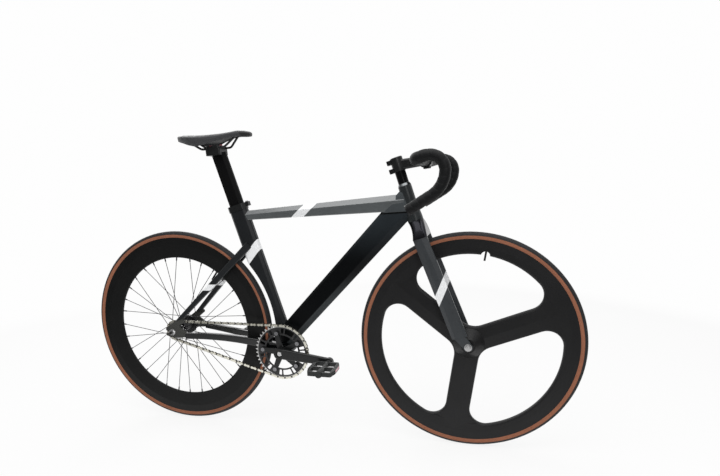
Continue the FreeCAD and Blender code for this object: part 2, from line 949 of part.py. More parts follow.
def axle(centre, half_between, locknut, radius, end, proud):
    """Solid axle with a locknut shoulder inside each fork end and turned-down tips."""
    shoulder = radius + locknut_radius_gain
    inner = half_between - locknut
    tip = radius - axle_tip_step
    seat = end - proud
    profile = [(0, -end), (tip, -end), (tip, -seat), (radius, -seat), (radius, -half_between),
               (shoulder, -half_between), (shoulder, -inner), (radius, -inner), (radius, inner), (shoulder, inner),
               (shoulder, half_between), (radius, half_between), (radius, seat), (tip, seat), (tip, end), (0, end)]
    return lathe(profile, centre, ASIDE)


def axle_nuts(centre, radius, outer_face):
    """Washer and flanged nut on each end of an axle."""
    nuts = []
    for side in (-1, 1):
        face = centre + ASIDE * (side * outer_face)
        outward = ASIDE * side
        nut_at = face + outward * washer_height
        body = hexagon(nut_across_flats, nut_height, nut_at, outward)
        nut = join([rod(face, nut_at, washer_radius), body])
        nuts.append(nut.cut(rod(face - outward * cut_overrun, nut_at + outward * (nut_height + cut_overrun), radius)))
    return nuts


rear_end_face = rear_over_locknut / 2 + track_end_thick
front_end_face = front_over_locknut / 2 + fork_end_thick
rear_axle_half = rear_end_face + washer_height + nut_height + rear_axle_proud
front_axle_half = front_end_face + washer_height + nut_height + front_axle_proud


def cog_phase():
    """Angle of a chain pin that lies on the cog's wrap."""
    behind = min(chain_pins(), key=lambda pin: (pin - rear_axle_at) * chain_along)
    arm = behind - rear_axle_at
    return math.degrees(math.atan2(arm.z, arm.x))


def rear_cog():
    """Fixed cog on the hub's boss."""
    disc = sprocket(rear_axle_at, cog_teeth, cog_phase())
    return disc.cut(rod(rear_axle_at, rear_axle_at + drive_side * 2, cog_boss_radius))


def cog_lockring():
    """Notched ring that locks the cog."""
    ring = tube_ring(cog_boss_radius, lockring_radius, cog_outer_face, cog_outer_face + lockring_length,
                     rear_axle_at, -ASIDE)
    for k in range(lockring_notches):
        turn = 360.0 * k / lockring_notches
        low = spot(rear_axle_at, lockring_radius - lockring_notch_depth, turn, -cog_outer_face + cut_overrun)
        across = heading(turn + 90) * lockring_notch_half
        outward = heading(turn) * (lockring_notch_depth + cut_overrun)
        wire = Part.makePolygon([low - across, low + across, low + across + outward, low - across + outward,
                                 low - across])
        ring = ring.cut(prism(wire, ASIDE * -(lockring_length + 2 * cut_overrun)))
    return ring


# Front wheel

front_rim_inner = rim_radius - front_rim_depth
front_hub_half = front_over_locknut / 2 - front_locknut_length - loose_gap


def spoke_spot(angle, along, aside, level):
    """Point beside a front spoke's centre line."""
    return front_axle_at + heading(angle) * along + heading(angle + 90) * aside + ASIDE * level


def window_wire(angle, growth, level):
    """Opening between one front spoke and the next, widened by a growth."""
    pitch = 360.0 / front_spokes
    half = front_spoke_half - growth
    rim = front_rim_inner + growth
    rim_fillet = front_rim_fillet + growth
    hub_fillet = front_hub_fillet + growth
    rim_along = math.sqrt((rim - rim_fillet) ** 2 - (half + rim_fillet) ** 2)
    rim_turn = math.degrees(math.atan2(half + rim_fillet, rim_along))
    hub_along = (half + hub_fillet) / math.tan(math.radians(pitch / 2))
    hub_reach = (half + hub_fillet) / math.sin(math.radians(pitch / 2))
    far = angle + pitch

    def fillet_middle(spoke_angle, side):
        centre = spoke_spot(spoke_angle, rim_along, side * (half + rim_fillet), level)
        outward = heading(spoke_angle + side * rim_turn)
        return centre + unit(outward - heading(spoke_angle + side * 90)) * rim_fillet

    near_low = spoke_spot(angle, hub_along, half, level)
    near_high = spoke_spot(angle, rim_along, half, level)
    near_rim = spoke_spot(angle + rim_turn, rim, 0, level)
    far_rim = spoke_spot(far - rim_turn, rim, 0, level)
    far_high = spoke_spot(far, rim_along, -half, level)
    far_low = spoke_spot(far, hub_along, -half, level)
    middle = angle + pitch / 2
    edges = [Part.LineSegment(near_low, near_high), Part.Arc(near_high, fillet_middle(angle, 1), near_rim),
             Part.Arc(near_rim, spoke_spot(middle, rim, 0, level), far_rim),
             Part.Arc(far_rim, fillet_middle(far, -1), far_high), Part.LineSegment(far_high, far_low),
             Part.Arc(far_low, spoke_spot(middle, hub_reach - hub_fillet, 0, level), near_low)]
    return Part.Wire([edge.toShape() for edge in edges])


def front_window(angle, inset):
    """Cut for one opening, with edges that round over both faces."""
    steps = [(share * front_edge_half, growth * front_edge_round + inset)
             for share, growth in zip(edge_height_shares, edge_growth_shares)]
    steps.append((front_hub_half, front_edge_round + inset))
    levels = [(-height, growth) for height, growth in reversed(steps[1:])] + steps
    return loft([window_wire(angle, growth, level) for level, growth in levels])


def front_spoke_roof(angle, inset):
    """Spoke with a raised centre line, thinning towards its edges and the rim."""
    edge = front_roof_edge_half - inset
    wires = []
    for along, ridge in ((0.0, front_ridge_hub_half - inset), (front_roof_reach, front_ridge_rim_half - inset)):
        pairs = [(front_roof_half, edge), (0, ridge), (-front_roof_half, edge), (-front_roof_half, -edge),
                 (0, -ridge), (front_roof_half, -edge)]
        points = [spoke_spot(angle, along, aside, level) for aside, level in pairs]
        wires.append(Part.makePolygon(points + points[:1]))
    return loft(wires)


def front_valve_notch(radius):
    """Scallop in the rim's inner edge beside the valve."""
    low = spot(front_axle_at, front_rim_inner, front_valve_angle, -front_hub_half)
    return rod(low, low + ASIDE * (2 * front_hub_half), radius)


def front_wheel_body(hub_points, inset):
    """Outside of the three-spoke wheel, or its hollow when inset by the wall."""
    top = rim_radius - inset
    wide = rim_radius - rim_wide_drop
    low = front_rim_inner - front_edge_round
    bead = rim_bead_half - inset
    belly = rim_wide_half - inset
    foot = front_rim_inner_half - inset
    rim_points = [(top, -bead), (wide, -belly), (low, -foot), (low, foot), (wide, belly), (top, bead)]
    angles = [front_spoke_angle + 360.0 * k / front_spokes for k in range(front_spokes)]
    body = join([lathe(rim_points, front_axle_at, ASIDE), lathe(hub_points, front_axle_at, ASIDE)]
                + [front_spoke_roof(angle, inset) for angle in angles])
    for angle in angles:
        body = body.cut(front_window(angle, inset))
    return body.cut(front_valve_notch(front_valve_recess + inset))


def front_wheel():
    """One-piece hollow three-spoke wheel with a flared hub."""
    half = front_hub_half
    shoulder = front_hub_shoulder
    hub_points = [(0, -half), (front_hub_radius, -half), (front_hub_flare, -shoulder), (front_hub_flare, shoulder),
                  (front_hub_radius, half), (0, half)]
    flare = front_hub_flare - front_wheel_wall
    depth = shoulder - front_wheel_wall
    hollow_points = [(0, -depth), (flare, -depth), (flare, depth), (0, depth)]
    core = rod(front_axle_at - ASIDE * half, front_axle_at + ASIDE * half, front_hub_radius)
    hollow = front_wheel_body(hollow_points, front_wheel_wall).cut(core)
    wheel = front_wheel_body(hub_points, 0).cut(hollow).cut(valve_hole(front_axle_at, front_valve_angle))
    return wheel.cut(hub_bore(front_axle_at, half, front_axle_radius))


# Frame tubes, each trimmed by the pieces that it meets

head_low = crown_race_height + loose_gap
head_high = head_low + head_tube_length


def head_tube_skin():
    """Head tube without its bore."""
    profile = [(0, 0), (head_bottom_radius, 0), (head_bottom_radius, head_lip), (head_top_radius, head_taper_height),
               (head_top_radius, head_tube_length), (0, head_tube_length)]
    return lathe(profile, steer_point(head_low), steer_up)


def head_tube():
    """Head tube with a seat for a bearing at each end."""
    low = bearing_height
    high = head_tube_length - bearing_height
    end = head_tube_length + cut_overrun
    profile = [(0, -cut_overrun), (bearing_bottom_radius, -cut_overrun), (bearing_bottom_radius, low),
               (head_bore_radius, low), (head_bore_radius, high), (bearing_top_radius, high),
               (bearing_top_radius, end), (0, end)]
    return head_tube_skin().cut(lathe(profile, steer_point(head_low), steer_up))


def headset_bearings():
    """Two bearings that carry the steerer."""
    bore = steerer_radius + running_gap
    low = steer_point(head_low)
    top = head_tube_length - bearing_height
    return [tube_ring(bore, bearing_bottom_radius, 0, bearing_height, low, steer_up),
            tube_ring(bore, bearing_top_radius, top, head_tube_length, low, steer_up)]


def aero_pairs(front, back, half, nose, nose_half, tail, tail_half):
    """Long section, given ahead and aside, that narrows to a nose and a tail."""
    right = [(front, nose_half), (front - nose, half), (tail - back, half), (-back, tail_half)]
    return right + [(a, -b) for a, b in reversed(right)]


def seat_tube_pairs(growth):
    """Seat tube section, grown on every side."""
    return aero_pairs(seat_tube_front + growth, seat_tube_back + growth, seat_tube_half + growth, seat_tube_nose,
                      seat_tube_nose_half, seat_tube_tail, seat_tube_tail_half)


def post_prism(low, high, growth):
    """Seatpost section between two heights on the seat axis, grown on every side."""
    pairs = aero_pairs(post_front + growth, post_back + growth, post_half + growth, post_nose,
                       post_nose_half + growth, post_tail, post_tail_half + growth)
    wire = outline(seat_point(low), seat_out, ASIDE, pairs, post_corner)
    return prism(wire, seat_up * (high - low))


seat_socket_floor = seat_tube_length - seat_socket_depth


def seat_tube_skin():
    """Outside of the seat tube, scooped to follow the rear tyre."""
    wire = outline(seat_point(seat_tube_foot), seat_out, ASIDE, seat_tube_pairs(0), seat_tube_corner)
    body = prism(wire, seat_up * (seat_tube_length - seat_tube_foot))
    scoop = tyre_radius + seat_tube_tyre_gap
    return body.cut(rod(rear_axle_at - ASIDE * scoop, rear_axle_at + ASIDE * scoop, scoop)).cut(bb_shell_skin())


def bb_shell_skin():
    """Outside of the bottom bracket shell."""
    return rod(bb_at - ASIDE * bb_shell_half, bb_at + ASIDE * bb_shell_half, bb_shell_radius)


def seat_tube():
    """Seat tube with the seatpost's socket and a hollow below it."""
    socket = post_prism(seat_socket_floor, seat_tube_length + cut_overrun, sliding_gap)
    pairs = [(seat_cavity_front, seat_cavity_half), (seat_cavity_back, seat_cavity_half),
             (seat_cavity_back, -seat_cavity_half), (seat_cavity_front, -seat_cavity_half)]
    foot = seat_tube_foot - cut_overrun
    wire = outline(seat_point(foot), seat_out, ASIDE, pairs, seat_tube_corner)
    cavity = prism(wire, seat_up * (seat_socket_floor - seat_cavity_roof - foot))
    return seat_tube_skin().cut(socket).cut(cavity)


def top_tube_wire(x, height, halves, facet, inset):
    """Faceted top tube section at one place along the bicycle."""
    start = seat_point(seat_tube_length - top_tube_drop)
    run = steer_point(head_high) - V(0, 0, top_tube_head_drop) - start
    top = V(x, 0, start.z + (x - start.x) * run.z / run.x - inset)
    crest, shoulder, foot = halves
    pairs = both_sides([(crest - inset / 2, 0), (shoulder - inset, -facet + inset / 2),
                        (foot - inset, 2 * inset - height)])
    return outline(top, ASIDE, V(0, 0, 1), pairs, top_tube_corner - inset / 2)


def top_tube_body(inset):
    """Top tube, or its hollow when inset by the wall, from axis to axis."""
    seat_x = seat_point(seat_tube_length).x
    head_x = steer_point(head_high).x
    return loft([top_tube_wire(seat_x, top_tube_seat_height, top_tube_seat_halves, top_tube_seat_facet, inset),
                 top_tube_wire(head_x, top_tube_head_height, top_tube_head_halves, top_tube_head_facet, inset)])


down_along = heading(down_tube_angle)
down_under = heading(down_tube_angle - 90)


def down_tube_wire(along, depth, inset):
    """Deep faceted down tube section at a distance from the bottom bracket."""
    centre = bb_at + down_along * along - down_under * down_tube_lift
    crest, upper, lower, keel = down_tube_halves
    half = depth / 2
    pairs = both_sides([(crest - inset / 2, inset - half), (upper - inset, down_tube_upper_facet - half),
                        (lower - inset, half - down_tube_lower_facet), (keel - inset / 2, half - inset)])
    return outline(centre, ASIDE, down_under, pairs, down_tube_corner - inset / 2)


down_tube_end = (steer_point(head_high) - bb_at) * down_along


def down_tube_body(inset):
    """Down tube, or its hollow when inset by the wall, past both of its ends."""
    return loft([down_tube_wire(0, down_tube_bb_depth, inset),
                 down_tube_wire(down_tube_end, down_tube_head_depth, inset)])


def past_head(shape):
    """Tube trimmed at the steering axis and by the head tube."""
    return shape.cut(beyond(steer_point(head_low), steer_out)).cut(head_tube_skin())


def down_tube():
    """Down tube between the head tube, the seat tube and the bottom bracket shell."""
    tube = past_head(down_tube_body(0).cut(down_tube_body(frame_wall)))
    return largest(tube.cut(beyond(bb_at, -seat_out)).cut(seat_tube_skin()).cut(bb_shell_skin()))


def top_tube():
    """Top tube between the seat tube and the head tube, resting on the down tube."""
    tube = past_head(top_tube_body(0).cut(top_tube_body(frame_wall)))
    tube = tube.cut(beyond(seat_point(seat_tube_length), -seat_out)).cut(seat_tube_skin())
    return largest(tube.cut(down_tube_body(0)))


def largest(shape):
    """Largest solid of a shape."""
    return max(shape.Solids, key=lambda solid: solid.Volume)


def bb_shell():
    """Bottom bracket shell with its bore."""
    half = ASIDE * (bb_shell_half + cut_overrun)
    return bb_shell_skin().cut(rod(bb_at - half, bb_at + half, bb_bearing_radius))


def track_end_outline():
    """Rear fork end in the side plane, relative to the axle."""
    pairs = [(-track_end_back, track_lip), (track_heel, track_heel_rise), (track_shoulder, track_shoulder_rise),
             (track_brow, track_brow_rise), (track_waist, track_waist_rise), (track_end_front, -track_front_drop),
             (track_toe, -track_toe_drop), (track_belly, -track_end_foot), (-track_end_back, -track_lip)]
    start = rear_axle_at - ASIDE * rear_end_face
    return outline(start, V(1, 0, 0), V(0, 0, 1), pairs, track_corner)


def track_end():
    """Right fork end with its slot open to the rear."""
    plate = prism(track_end_outline(), ASIDE * track_end_thick)
    half = rear_axle_radius + track_slot_gap
    pairs = [(track_slot_front, half), (track_slot_front, -half), (-track_end_back - cut_overrun, -half),
             (-track_end_back - cut_overrun, half)]
    start = rear_axle_at - ASIDE * (rear_end_face + cut_overrun)
    points = [start + V(a, 0, b) for a, b in pairs]
    slot = prism(Part.makePolygon(points + points[:1]), ASIDE * (track_end_thick + 2 * cut_overrun))
    return plate.cut(slot)


stay_end_aside = rear_over_locknut / 2 + track_end_thick / 2


def stay_wire(centre, upward, width, depth, corner):
    """Rounded stay section."""
    a = width / 2
    b = depth / 2
    return outline(centre, ASIDE, upward, [(a, b), (a, -b), (-a, -b), (-a, b)], corner)


def chainstay():
    """Right chainstay, bent clear of the tyre and the chainring."""
    knee_aside = tyre_width / 2 + stay_tyre_gap + chainstay_knee_width / 2
    upward = V(0, 0, 1)
    at_bb = bb_at + V(-chainstay_bb_ahead, -chainstay_bb_aside, chainstay_bb_rise)
    at_knee = bb_at + V(-chainstay_knee_back, -knee_aside, chainstay_knee_rise)
    at_end = rear_axle_at + V(chainstay_end_ahead, -stay_end_aside, chainstay_end_rise)
    wires = [stay_wire(at_bb, upward, chainstay_bb_width, chainstay_bb_depth, stay_corner),
             stay_wire(at_knee, upward, chainstay_knee_width, chainstay_knee_depth, stay_corner),
             stay_wire(at_end, upward, chainstay_end_width, chainstay_end_depth, stay_end_corner)]
    stay = loft(wires, False)
    return largest(stay.cut(bb_shell_skin()).cut(seat_tube_skin()).cut(track_end_block()))


def track_end_block():
    """Fork end without its slot, for trimming the stays."""
    return prism(track_end_outline(), ASIDE * track_end_thick)


def seatstay():
    """Right seatstay, from the fork end to the side of the seat tube."""
    top = seat_point(seat_tube_length - seatstay_top_drop, 0, -seatstay_top_aside)
    end = rear_axle_at + V(seatstay_end_ahead, -stay_end_aside, seatstay_end_rise)
    run = unit(V(top.x - end.x, 0, top.z - end.z))
    upward = V(-run.z, 0, run.x)
    wires = [stay_wire(end, upward, seatstay_width, seatstay_end_depth, stay_end_corner),
             stay_wire(top, upward, seatstay_width, seatstay_top_depth, stay_corner)]
    inside = beyond(ASIDE * -seat_tube_half, ASIDE)
    heel = rear_axle_at + V(track_heel, 0, track_heel_rise)
    slope = V(track_shoulder - track_heel, 0, track_shoulder_rise - track_heel_rise)
    return largest(loft(wires).cut(inside).cut(beyond(heel, V(slope.z, 0, -slope.x))))


# Seat clamp, seatpost and saddle

def seat_clamp():
    """Collar round the seatpost with a binder block in front."""
    low = seat_tube_length
    wire = outline(seat_point(low), seat_out, ASIDE, seat_tube_pairs(collar_wall), seat_tube_corner)
    collar = prism(wire, seat_up * collar_height)
    front = seat_tube_front
    pairs = [(front, binder_half), (front + binder_reach, binder_half), (front + binder_reach, -binder_half),
             (front, -binder_half)]
    block_low = low + collar_height - binder_height
    points = [seat_point(block_low, a, b) for a, b in pairs]
    block = prism(Part.makePolygon(points + points[:1]), seat_up * binder_height)
    clamp = join([collar, block])
    clamp = clamp.cut(post_prism(low - cut_overrun, low + collar_height + cut_overrun, sliding_gap))
    return clamp.cut(rod(binder_bolt_at() - seat_up * (2 * binder_height), binder_bolt_at(), binder_bolt_radius))


def binder_bolt_at():
    """Underside of the binder bolt's head."""
    return seat_point(seat_tube_length + collar_height, seat_tube_front + binder_reach / 2)


def seat_clamp_bolt():
    """Bolt that tightens the collar."""
    return socket_bolt(binder_bolt_at(), seat_up, binder_height, binder_bolt_radius, binder_head_radius,
                       binder_head_height)


def seatpost():
    """Hollow post of long section, closed at the top."""
    low = seat_tube_length - post_insert
    pairs = [(post_bore_front, post_bore_half), (-post_bore_back, post_bore_half),
             (-post_bore_back, -post_bore_half), (post_bore_front, -post_bore_half)]
    wire = outline(seat_point(low - cut_overrun), seat_out, ASIDE, pairs, post_bore_corner)
    bore = prism(wire, seat_up * (post_top_height - 2 * post_half - low))
    return post_prism(low, post_top_height, 0).cut(bore)


post_top = seat_point(post_top_height)
rail_along = heading(rail_slope)
rail_up = heading(rail_slope + 90)
rail_at = post_top + rail_up * rail_lift
clamp_at = rail_at - rail_along * cradle_back


def rail_points(side):
    """Corners of one rail, from its tail socket to its nose socket."""
    back = rail_at - rail_along * rail_straight_back + ASIDE * (side * rail_aside)
    front = rail_at + rail_along * rail_straight_front + ASIDE * (side * rail_aside)
    tail = back - V(rail_rear_run, side * (rail_aside - rail_rear_aside), -rail_rear_rise)
    nose = front + V(rail_nose_run, side * (rail_nose_aside - rail_aside), rail_nose_rise)
    return [tail, back, front, nose]


def saddle_rails():
    """Pair of bent rails."""
    rails = []
    for side in (-1, 1):
        points = rail_points(side)
        path = rounded_wire(points, rail_bend_radius, False)
        circle = Part.Wire(Part.makeCircle(rail_radius, points[0], points[1] - points[0]))
        rails.append(Part.Wire(path).makePipeShell([circle], True, False))
    return rails


def rail_grooves(growth):
    """Straight cuts for both rails through the clamp."""
    reach = rail_along * cradle_length
    cuts = []
    for side in (-1, 1):
        centre = clamp_at + ASIDE * (side * rail_aside)
        cuts.append(rod(centre - reach, centre + reach, rail_radius + growth))
    return Part.makeCompound(cuts)


def clamp_slab(length, half_width, low, high):
    """Rounded slab under or over the rails."""
    half = length / 2
    pairs = [(half, half_width), (half, -half_width), (-half, -half_width), (-half, half_width)]
    wire = outline(clamp_at + rail_up * low, rail_along, ASIDE, pairs, cradle_corner)
    return prism(wire, rail_up * (high - low))


def clamp_bolt_holes():
    """Cuts for the two saddle clamp bolts."""
    cuts = []
    for side in (-1, 1):
        centre = clamp_at + rail_along * (side * clamp_bolt_spread)
        cuts.append(rod(centre - rail_up * cradle_height, centre + rail_up * cradle_height, clamp_bolt_radius))
    return Part.makeCompound(cuts)


def saddle_cradle():
    """Lower half of the saddle clamp, on top of the post."""
    slab = clamp_slab(cradle_length, cradle_half_width, -cradle_height, 0)
    return slab.cut(rail_grooves(running_gap)).cut(clamp_bolt_holes()).cut(post_prism(0, post_top_height, 0))


def saddle_clamp_plate():
    """Upper half of the saddle clamp, over the rails."""
    slab = clamp_slab(clamp_plate_length, cradle_half_width, 0, clamp_plate_height)
    return slab.cut(rail_grooves(running_gap)).cut(clamp_bolt_holes())


def saddle_clamp_bolts():
    """Two bolts that close the saddle clamp."""
    bolts = []
    for side in (-1, 1):
        head_at = clamp_at + rail_along * (side * clamp_bolt_spread) + rail_up * clamp_plate_height
        bolts.append(socket_bolt(head_at, rail_up, clamp_plate_height + cradle_height / 2, clamp_bolt_radius,
                                 clamp_head_radius, clamp_head_height))
    return bolts


saddle_tail = V(post_top.x - saddle_tail_back, 0, post_top.z + saddle_top_lift)


def saddle_wire(index, width_share, roof, floor):
    """Saddle section at one station: crowned top, tucked sides and a flat underside."""
    x = saddle_tail.x + saddle_length * saddle_station_shares[index]
    half = saddle_half_width * saddle_width_shares[index] * width_share
    foot_half = half * saddle_tuck_share
    left = V(x, half, roof - saddle_shoulders[index])
    right = V(x, -half, roof - saddle_shoulders[index])
    low_right = V(x, -foot_half, floor)
    low_left = V(x, foot_half, floor)
    edges = [Part.Arc(left, V(x, 0, roof), right), Part.LineSegment(right, low_right),
             Part.LineSegment(low_right, low_left), Part.LineSegment(low_left, left)]
    return Part.Wire([edge.toShape() for edge in edges])


def saddle_roof(index):
    """Height of the saddle's centre line at a station."""
    return saddle_tail.z + saddle_crowns[index]


def saddle_floor(index):
    """Height of the saddle's lower edge at a station."""
    return saddle_roof(index) - saddle_skirts[index]


def saddle_hollow():
    """Space under the padding, open below."""
    wires = [saddle_wire(k, shell_inset_share, saddle_roof(k) - saddle_padding, saddle_floor(k) - saddle_padding)
             for k in range(shell_station_first, shell_station_last + 1)]
    return loft(wires, False)


def rail_cuts(shape):
    """Shape with the rails' places cut out of it."""
    return shape.cut(Part.makeCompound(saddle_rails()))


def saddle_shell():
    """Stiff crowned base under the padding, which carries the rails."""
    hollow = saddle_hollow()
    return largest(rail_cuts(hollow.cut(hollow.translated(V(0, 0, -shell_thick)))))


def saddle_cover():
    """Padded cover: crowned, waisted and drawn in along its sides."""
    wires = [saddle_wire(k, 1.0, saddle_roof(k), saddle_floor(k)) for k in range(len(saddle_station_shares))]
    return largest(rail_cuts(loft(wires, False).cut(saddle_hollow())))


# Fork, headset, stem and handlebar

def oval_wire(along, back, front, half, corner):
    """Rounded rectangle across the steering axis."""
    pairs = [(front, half), (front, -half), (-back, -half), (-back, half)]
    return outline(steer_point(along), steer_out, ASIDE, pairs, corner)


def blade_section(along, ahead, aside, chord, thick):
    """Streamlined blade section across the steering axis."""
    front = ahead + chord / 2
    back = ahead - chord / 2
    nose = thick * blade_nose_share / 2
    tail = thick * blade_tail_share / 2
    half = thick / 2
    pairs = [(front, aside + nose), (front - thick, aside + half), (back + thick, aside + half), (back, aside + tail),
             (back, aside - tail), (back + thick, aside - half), (front - thick, aside - half), (front, aside - nose)]
    return outline(steer_point(along), steer_out, ASIDE, pairs, tail / 2)


blade_end_aside = front_over_locknut / 2 + fork_end_thick / 2


def fork_blade():
    """Right blade, with a slotted end for the axle."""
    top = crown_race_height - crown_height
    wires = [blade_section(top, blade_top_ahead, -blade_top_aside, blade_top_chord, blade_top_thick),
             blade_section(blade_low_height, blade_low_ahead, -blade_end_aside, blade_low_chord, blade_low_thick)]
    blade = loft(wires)
    start = front_axle_at - ASIDE * front_end_face
    low_back = steer_point(blade_low_height, blade_low_ahead - blade_low_chord / 2 + fork_end_thick, -front_end_face)
    low_front = steer_point(blade_low_height, blade_low_ahead + blade_low_chord / 2 - fork_end_thick, -front_end_face)
    bottom = start - steer_up * fork_end_radius
    edges = [Part.LineSegment(low_front, start + steer_out * fork_end_radius),
             Part.Arc(start + steer_out * fork_end_radius, bottom, start - steer_out * fork_end_radius),
             Part.LineSegment(start - steer_out * fork_end_radius, low_back), Part.LineSegment(low_back, low_front)]
    tab = prism(Part.Wire([edge.toShape() for edge in edges]), ASIDE * fork_end_thick)
    half = front_axle_radius + fork_slot_gap
    slot_points = [start + steer_out * half, start - steer_out * half,
                   start - steer_out * half - steer_up * (2 * fork_end_radius),
                   start + steer_out * half - steer_up * (2 * fork_end_radius)]
    slot_points = [point - ASIDE * cut_overrun for point in slot_points]
    thick = ASIDE * (fork_end_thick + 2 * cut_overrun)
    slot = prism(Part.makePolygon(slot_points + slot_points[:1]), thick)
    bore = rod(start - ASIDE * cut_overrun, start + ASIDE * (fork_end_thick + cut_overrun), half)
    return join([blade, tab]).cut(slot).cut(bore)


stem_low = head_high + cover_height + spacer_height * spacer_count
stem_high = stem_low + stem_height
stem_middle = (stem_low + stem_high) / 2


def fork_steerer():
    """Crown and hollow steerer in one piece."""
    low = crown_race_height - crown_height
    shoulder = crown_race_height - crown_height * crown_shoulder_share
    round_corner = head_bottom_radius - running_gap
    crown = loft([oval_wire(crown_race_height, head_bottom_radius, head_bottom_radius, head_bottom_radius,
                            round_corner),
                  oval_wire(shoulder, crown_shoulder_back, crown_shoulder_front,
                            crown_half_width * crown_shoulder_width_share, crown_shoulder_corner),
                  oval_wire(low, crown_back, crown_front, crown_half_width, crown_low_corner)], False)
    column = rod(steer_point(crown_race_height - cut_overrun), steer_point(stem_high - steerer_below_cap),
                 steerer_radius)
    bore = rod(steer_point(low - cut_overrun), steer_point(stem_high), steerer_bore_radius)
    return join([crown, column]).cut(bore)


def headset_cover():
    """Conical cover on the upper bearing."""
    low = loose_gap
    profile = [(steerer_radius, low), (head_top_radius, low), (cover_top_radius, cover_height),
               (steerer_radius, cover_height)]
    return lathe(profile, steer_point(head_high), steer_up)


def headset_spacers():
    """Stack of spacers under the stem."""
    base = steer_point(head_high + cover_height)
    return [tube_ring(steerer_radius, spacer_radius, k * spacer_height, (k + 1) * spacer_height, base, steer_up)
            for k in range(spacer_count)]


bar_at = steer_point(stem_middle - stem_drop, stem_reach)
stem_along = unit(bar_at - steer_point(stem_middle))
stem_over = ASIDE.cross(stem_along) * -1


def stem_section(centre, half_height, half_width):
    """Rounded section across the stem's extension."""
    pairs = [(half_width, half_height), (half_width, -half_height), (-half_width, -half_height),
             (-half_width, half_height)]
    return outline(centre, ASIDE, stem_over, pairs, stem_corner)


def bar_clamp_ring():
    """Outside of the clamp round the handlebar."""
    half = ASIDE * bar_clamp_half
    return rod(bar_at - half, bar_at + half, bar_clamp_radius + bar_clamp_wall)


def bar_bore():
    """Cut for the handlebar through its clamp."""
    half = ASIDE * (bar_clamp_half + cut_overrun)
    return rod(bar_at - half, bar_at + half, bar_clamp_radius + running_gap)


def faceplate_ears(side):
    """Bolt ears above and below the handlebar, on the stem's or the faceplate's side of the split."""
    outer = bar_clamp_radius + bar_clamp_wall
    shapes = []
    for up in (-1, 1):
        for aside in (-1, 1):
            centre = bar_at + ASIDE * (aside * faceplate_bolt_aside) + stem_over * (up * outer)
            near = centre + stem_along * (side * faceplate_gap_half)
            pairs = [(faceplate_ear_half, faceplate_ear / 2), (faceplate_ear_half, -faceplate_ear / 2),
                     (-faceplate_ear_half, -faceplate_ear / 2), (-faceplate_ear_half, faceplate_ear / 2)]
            points = [near + ASIDE * a + stem_over * b for a, b in pairs]
            shapes.append(prism(Part.makePolygon(points + points[:1]), stem_along * (side * faceplate_ear_thick)))
    return shapes


def faceplate_bolt_places():
    """Faces under the heads of the four faceplate bolts."""
    out = bar_clamp_radius + faceplate_bolt_out
    reach = stem_along * (faceplate_gap_half + faceplate_ear_thick)
    return [bar_at + reach + ASIDE * (aside * faceplate_bolt_aside) + stem_over * (up * out)
            for up in (-1, 1) for aside in (-1, 1)]


def steerer_bolt_places():
    """Faces under the heads of the two bolts behind the steerer."""
    ahead = -(stem_ear_back + stem_clamp_radius) / 2
    return [steer_point(along, ahead, -stem_ear_half_width)
            for along in (stem_low + stem_lug_height / 2, stem_high - stem_lug_height / 2)]


def stem_bolt_cuts():
    """Holes for every stem bolt."""
    cuts = [rod(place, place - stem_along * (2 * faceplate_ear_thick + 2 * faceplate_gap_half), small_bolt_radius)
            for place in faceplate_bolt_places()]
    cuts += [rod(place, place + ASIDE * (2 * stem_ear_half_width - small_head_height), small_bolt_radius)
             for place in steerer_bolt_places()]
    return Part.makeCompound(cuts)


def stem():
    """Stem: steerer clamp with a slit, extension and the rear half of the bar clamp."""
    clamp = rod(steer_point(stem_low), steer_point(stem_high), stem_clamp_radius)
    root = steer_point(stem_middle) + stem_along * (stem_clamp_radius / 2)
    tip = bar_at - stem_along * stem_tip_back
    arm = loft([stem_section(root, stem_root_half_height, stem_root_half_width),
                stem_section(tip, stem_tip_half_height, stem_tip_half_width)])
    pairs = [(0, stem_ear_half_width), (-stem_ear_back, stem_ear_half_width), (-stem_ear_back, -stem_ear_half_width),
             (0, -stem_ear_half_width)]
    lugs = []
    for along in (stem_low, stem_high - stem_lug_height):
        points = [steer_point(along, a, b) for a, b in pairs]
        lugs.append(prism(Part.makePolygon(points + points[:1]), steer_up * stem_lug_height))
    ring = bar_clamp_ring().cut(beyond(bar_at - stem_along * faceplate_gap_half, stem_along))
    body = join([clamp, arm, ring] + lugs + faceplate_ears(-1))
    bore = rod(steer_point(stem_low - cut_overrun), steer_point(stem_high + cut_overrun), steerer_radius)
    slit_points = [steer_point(stem_low - cut_overrun, a, b) for a, b in
                   [(0, stem_slit_half), (-2 * stem_ear_back, stem_slit_half), (-2 * stem_ear_back, -stem_slit_half),
                    (0, -stem_slit_half)]]
    slit = prism(Part.makePolygon(slit_points + slit_points[:1]), steer_up * (stem_height + 2 * cut_overrun))
    return body.cut(bore).cut(bar_bore()).cut(slit).cut(stem_bolt_cuts())


def stem_faceplate():
    """Front half of the bar clamp."""
    ring = bar_clamp_ring().cut(beyond(bar_at + stem_along * faceplate_gap_half, -stem_along))
    sinks = [rod(place, place + stem_along * bar_clamp_half, small_head_radius + head_clearance)
             for place in faceplate_bolt_places()]
    plate = join([ring] + faceplate_ears(1)).cut(Part.makeCompound(sinks))
    return plate.cut(bar_bore()).cut(stem_bolt_cuts())


def stem_bolts():
    """Four faceplate bolts and two steerer bolts."""
    bolts = [socket_bolt(place, stem_along, 2 * faceplate_ear_thick + 2 * faceplate_gap_half, small_bolt_radius,
                         small_head_radius, small_head_height) for place in faceplate_bolt_places()]
    bolts += [socket_bolt(place, -ASIDE, 2 * stem_ear_half_width - small_head_height, small_bolt_radius,
                          small_head_radius, small_head_height) for place in steerer_bolt_places()]
    return bolts


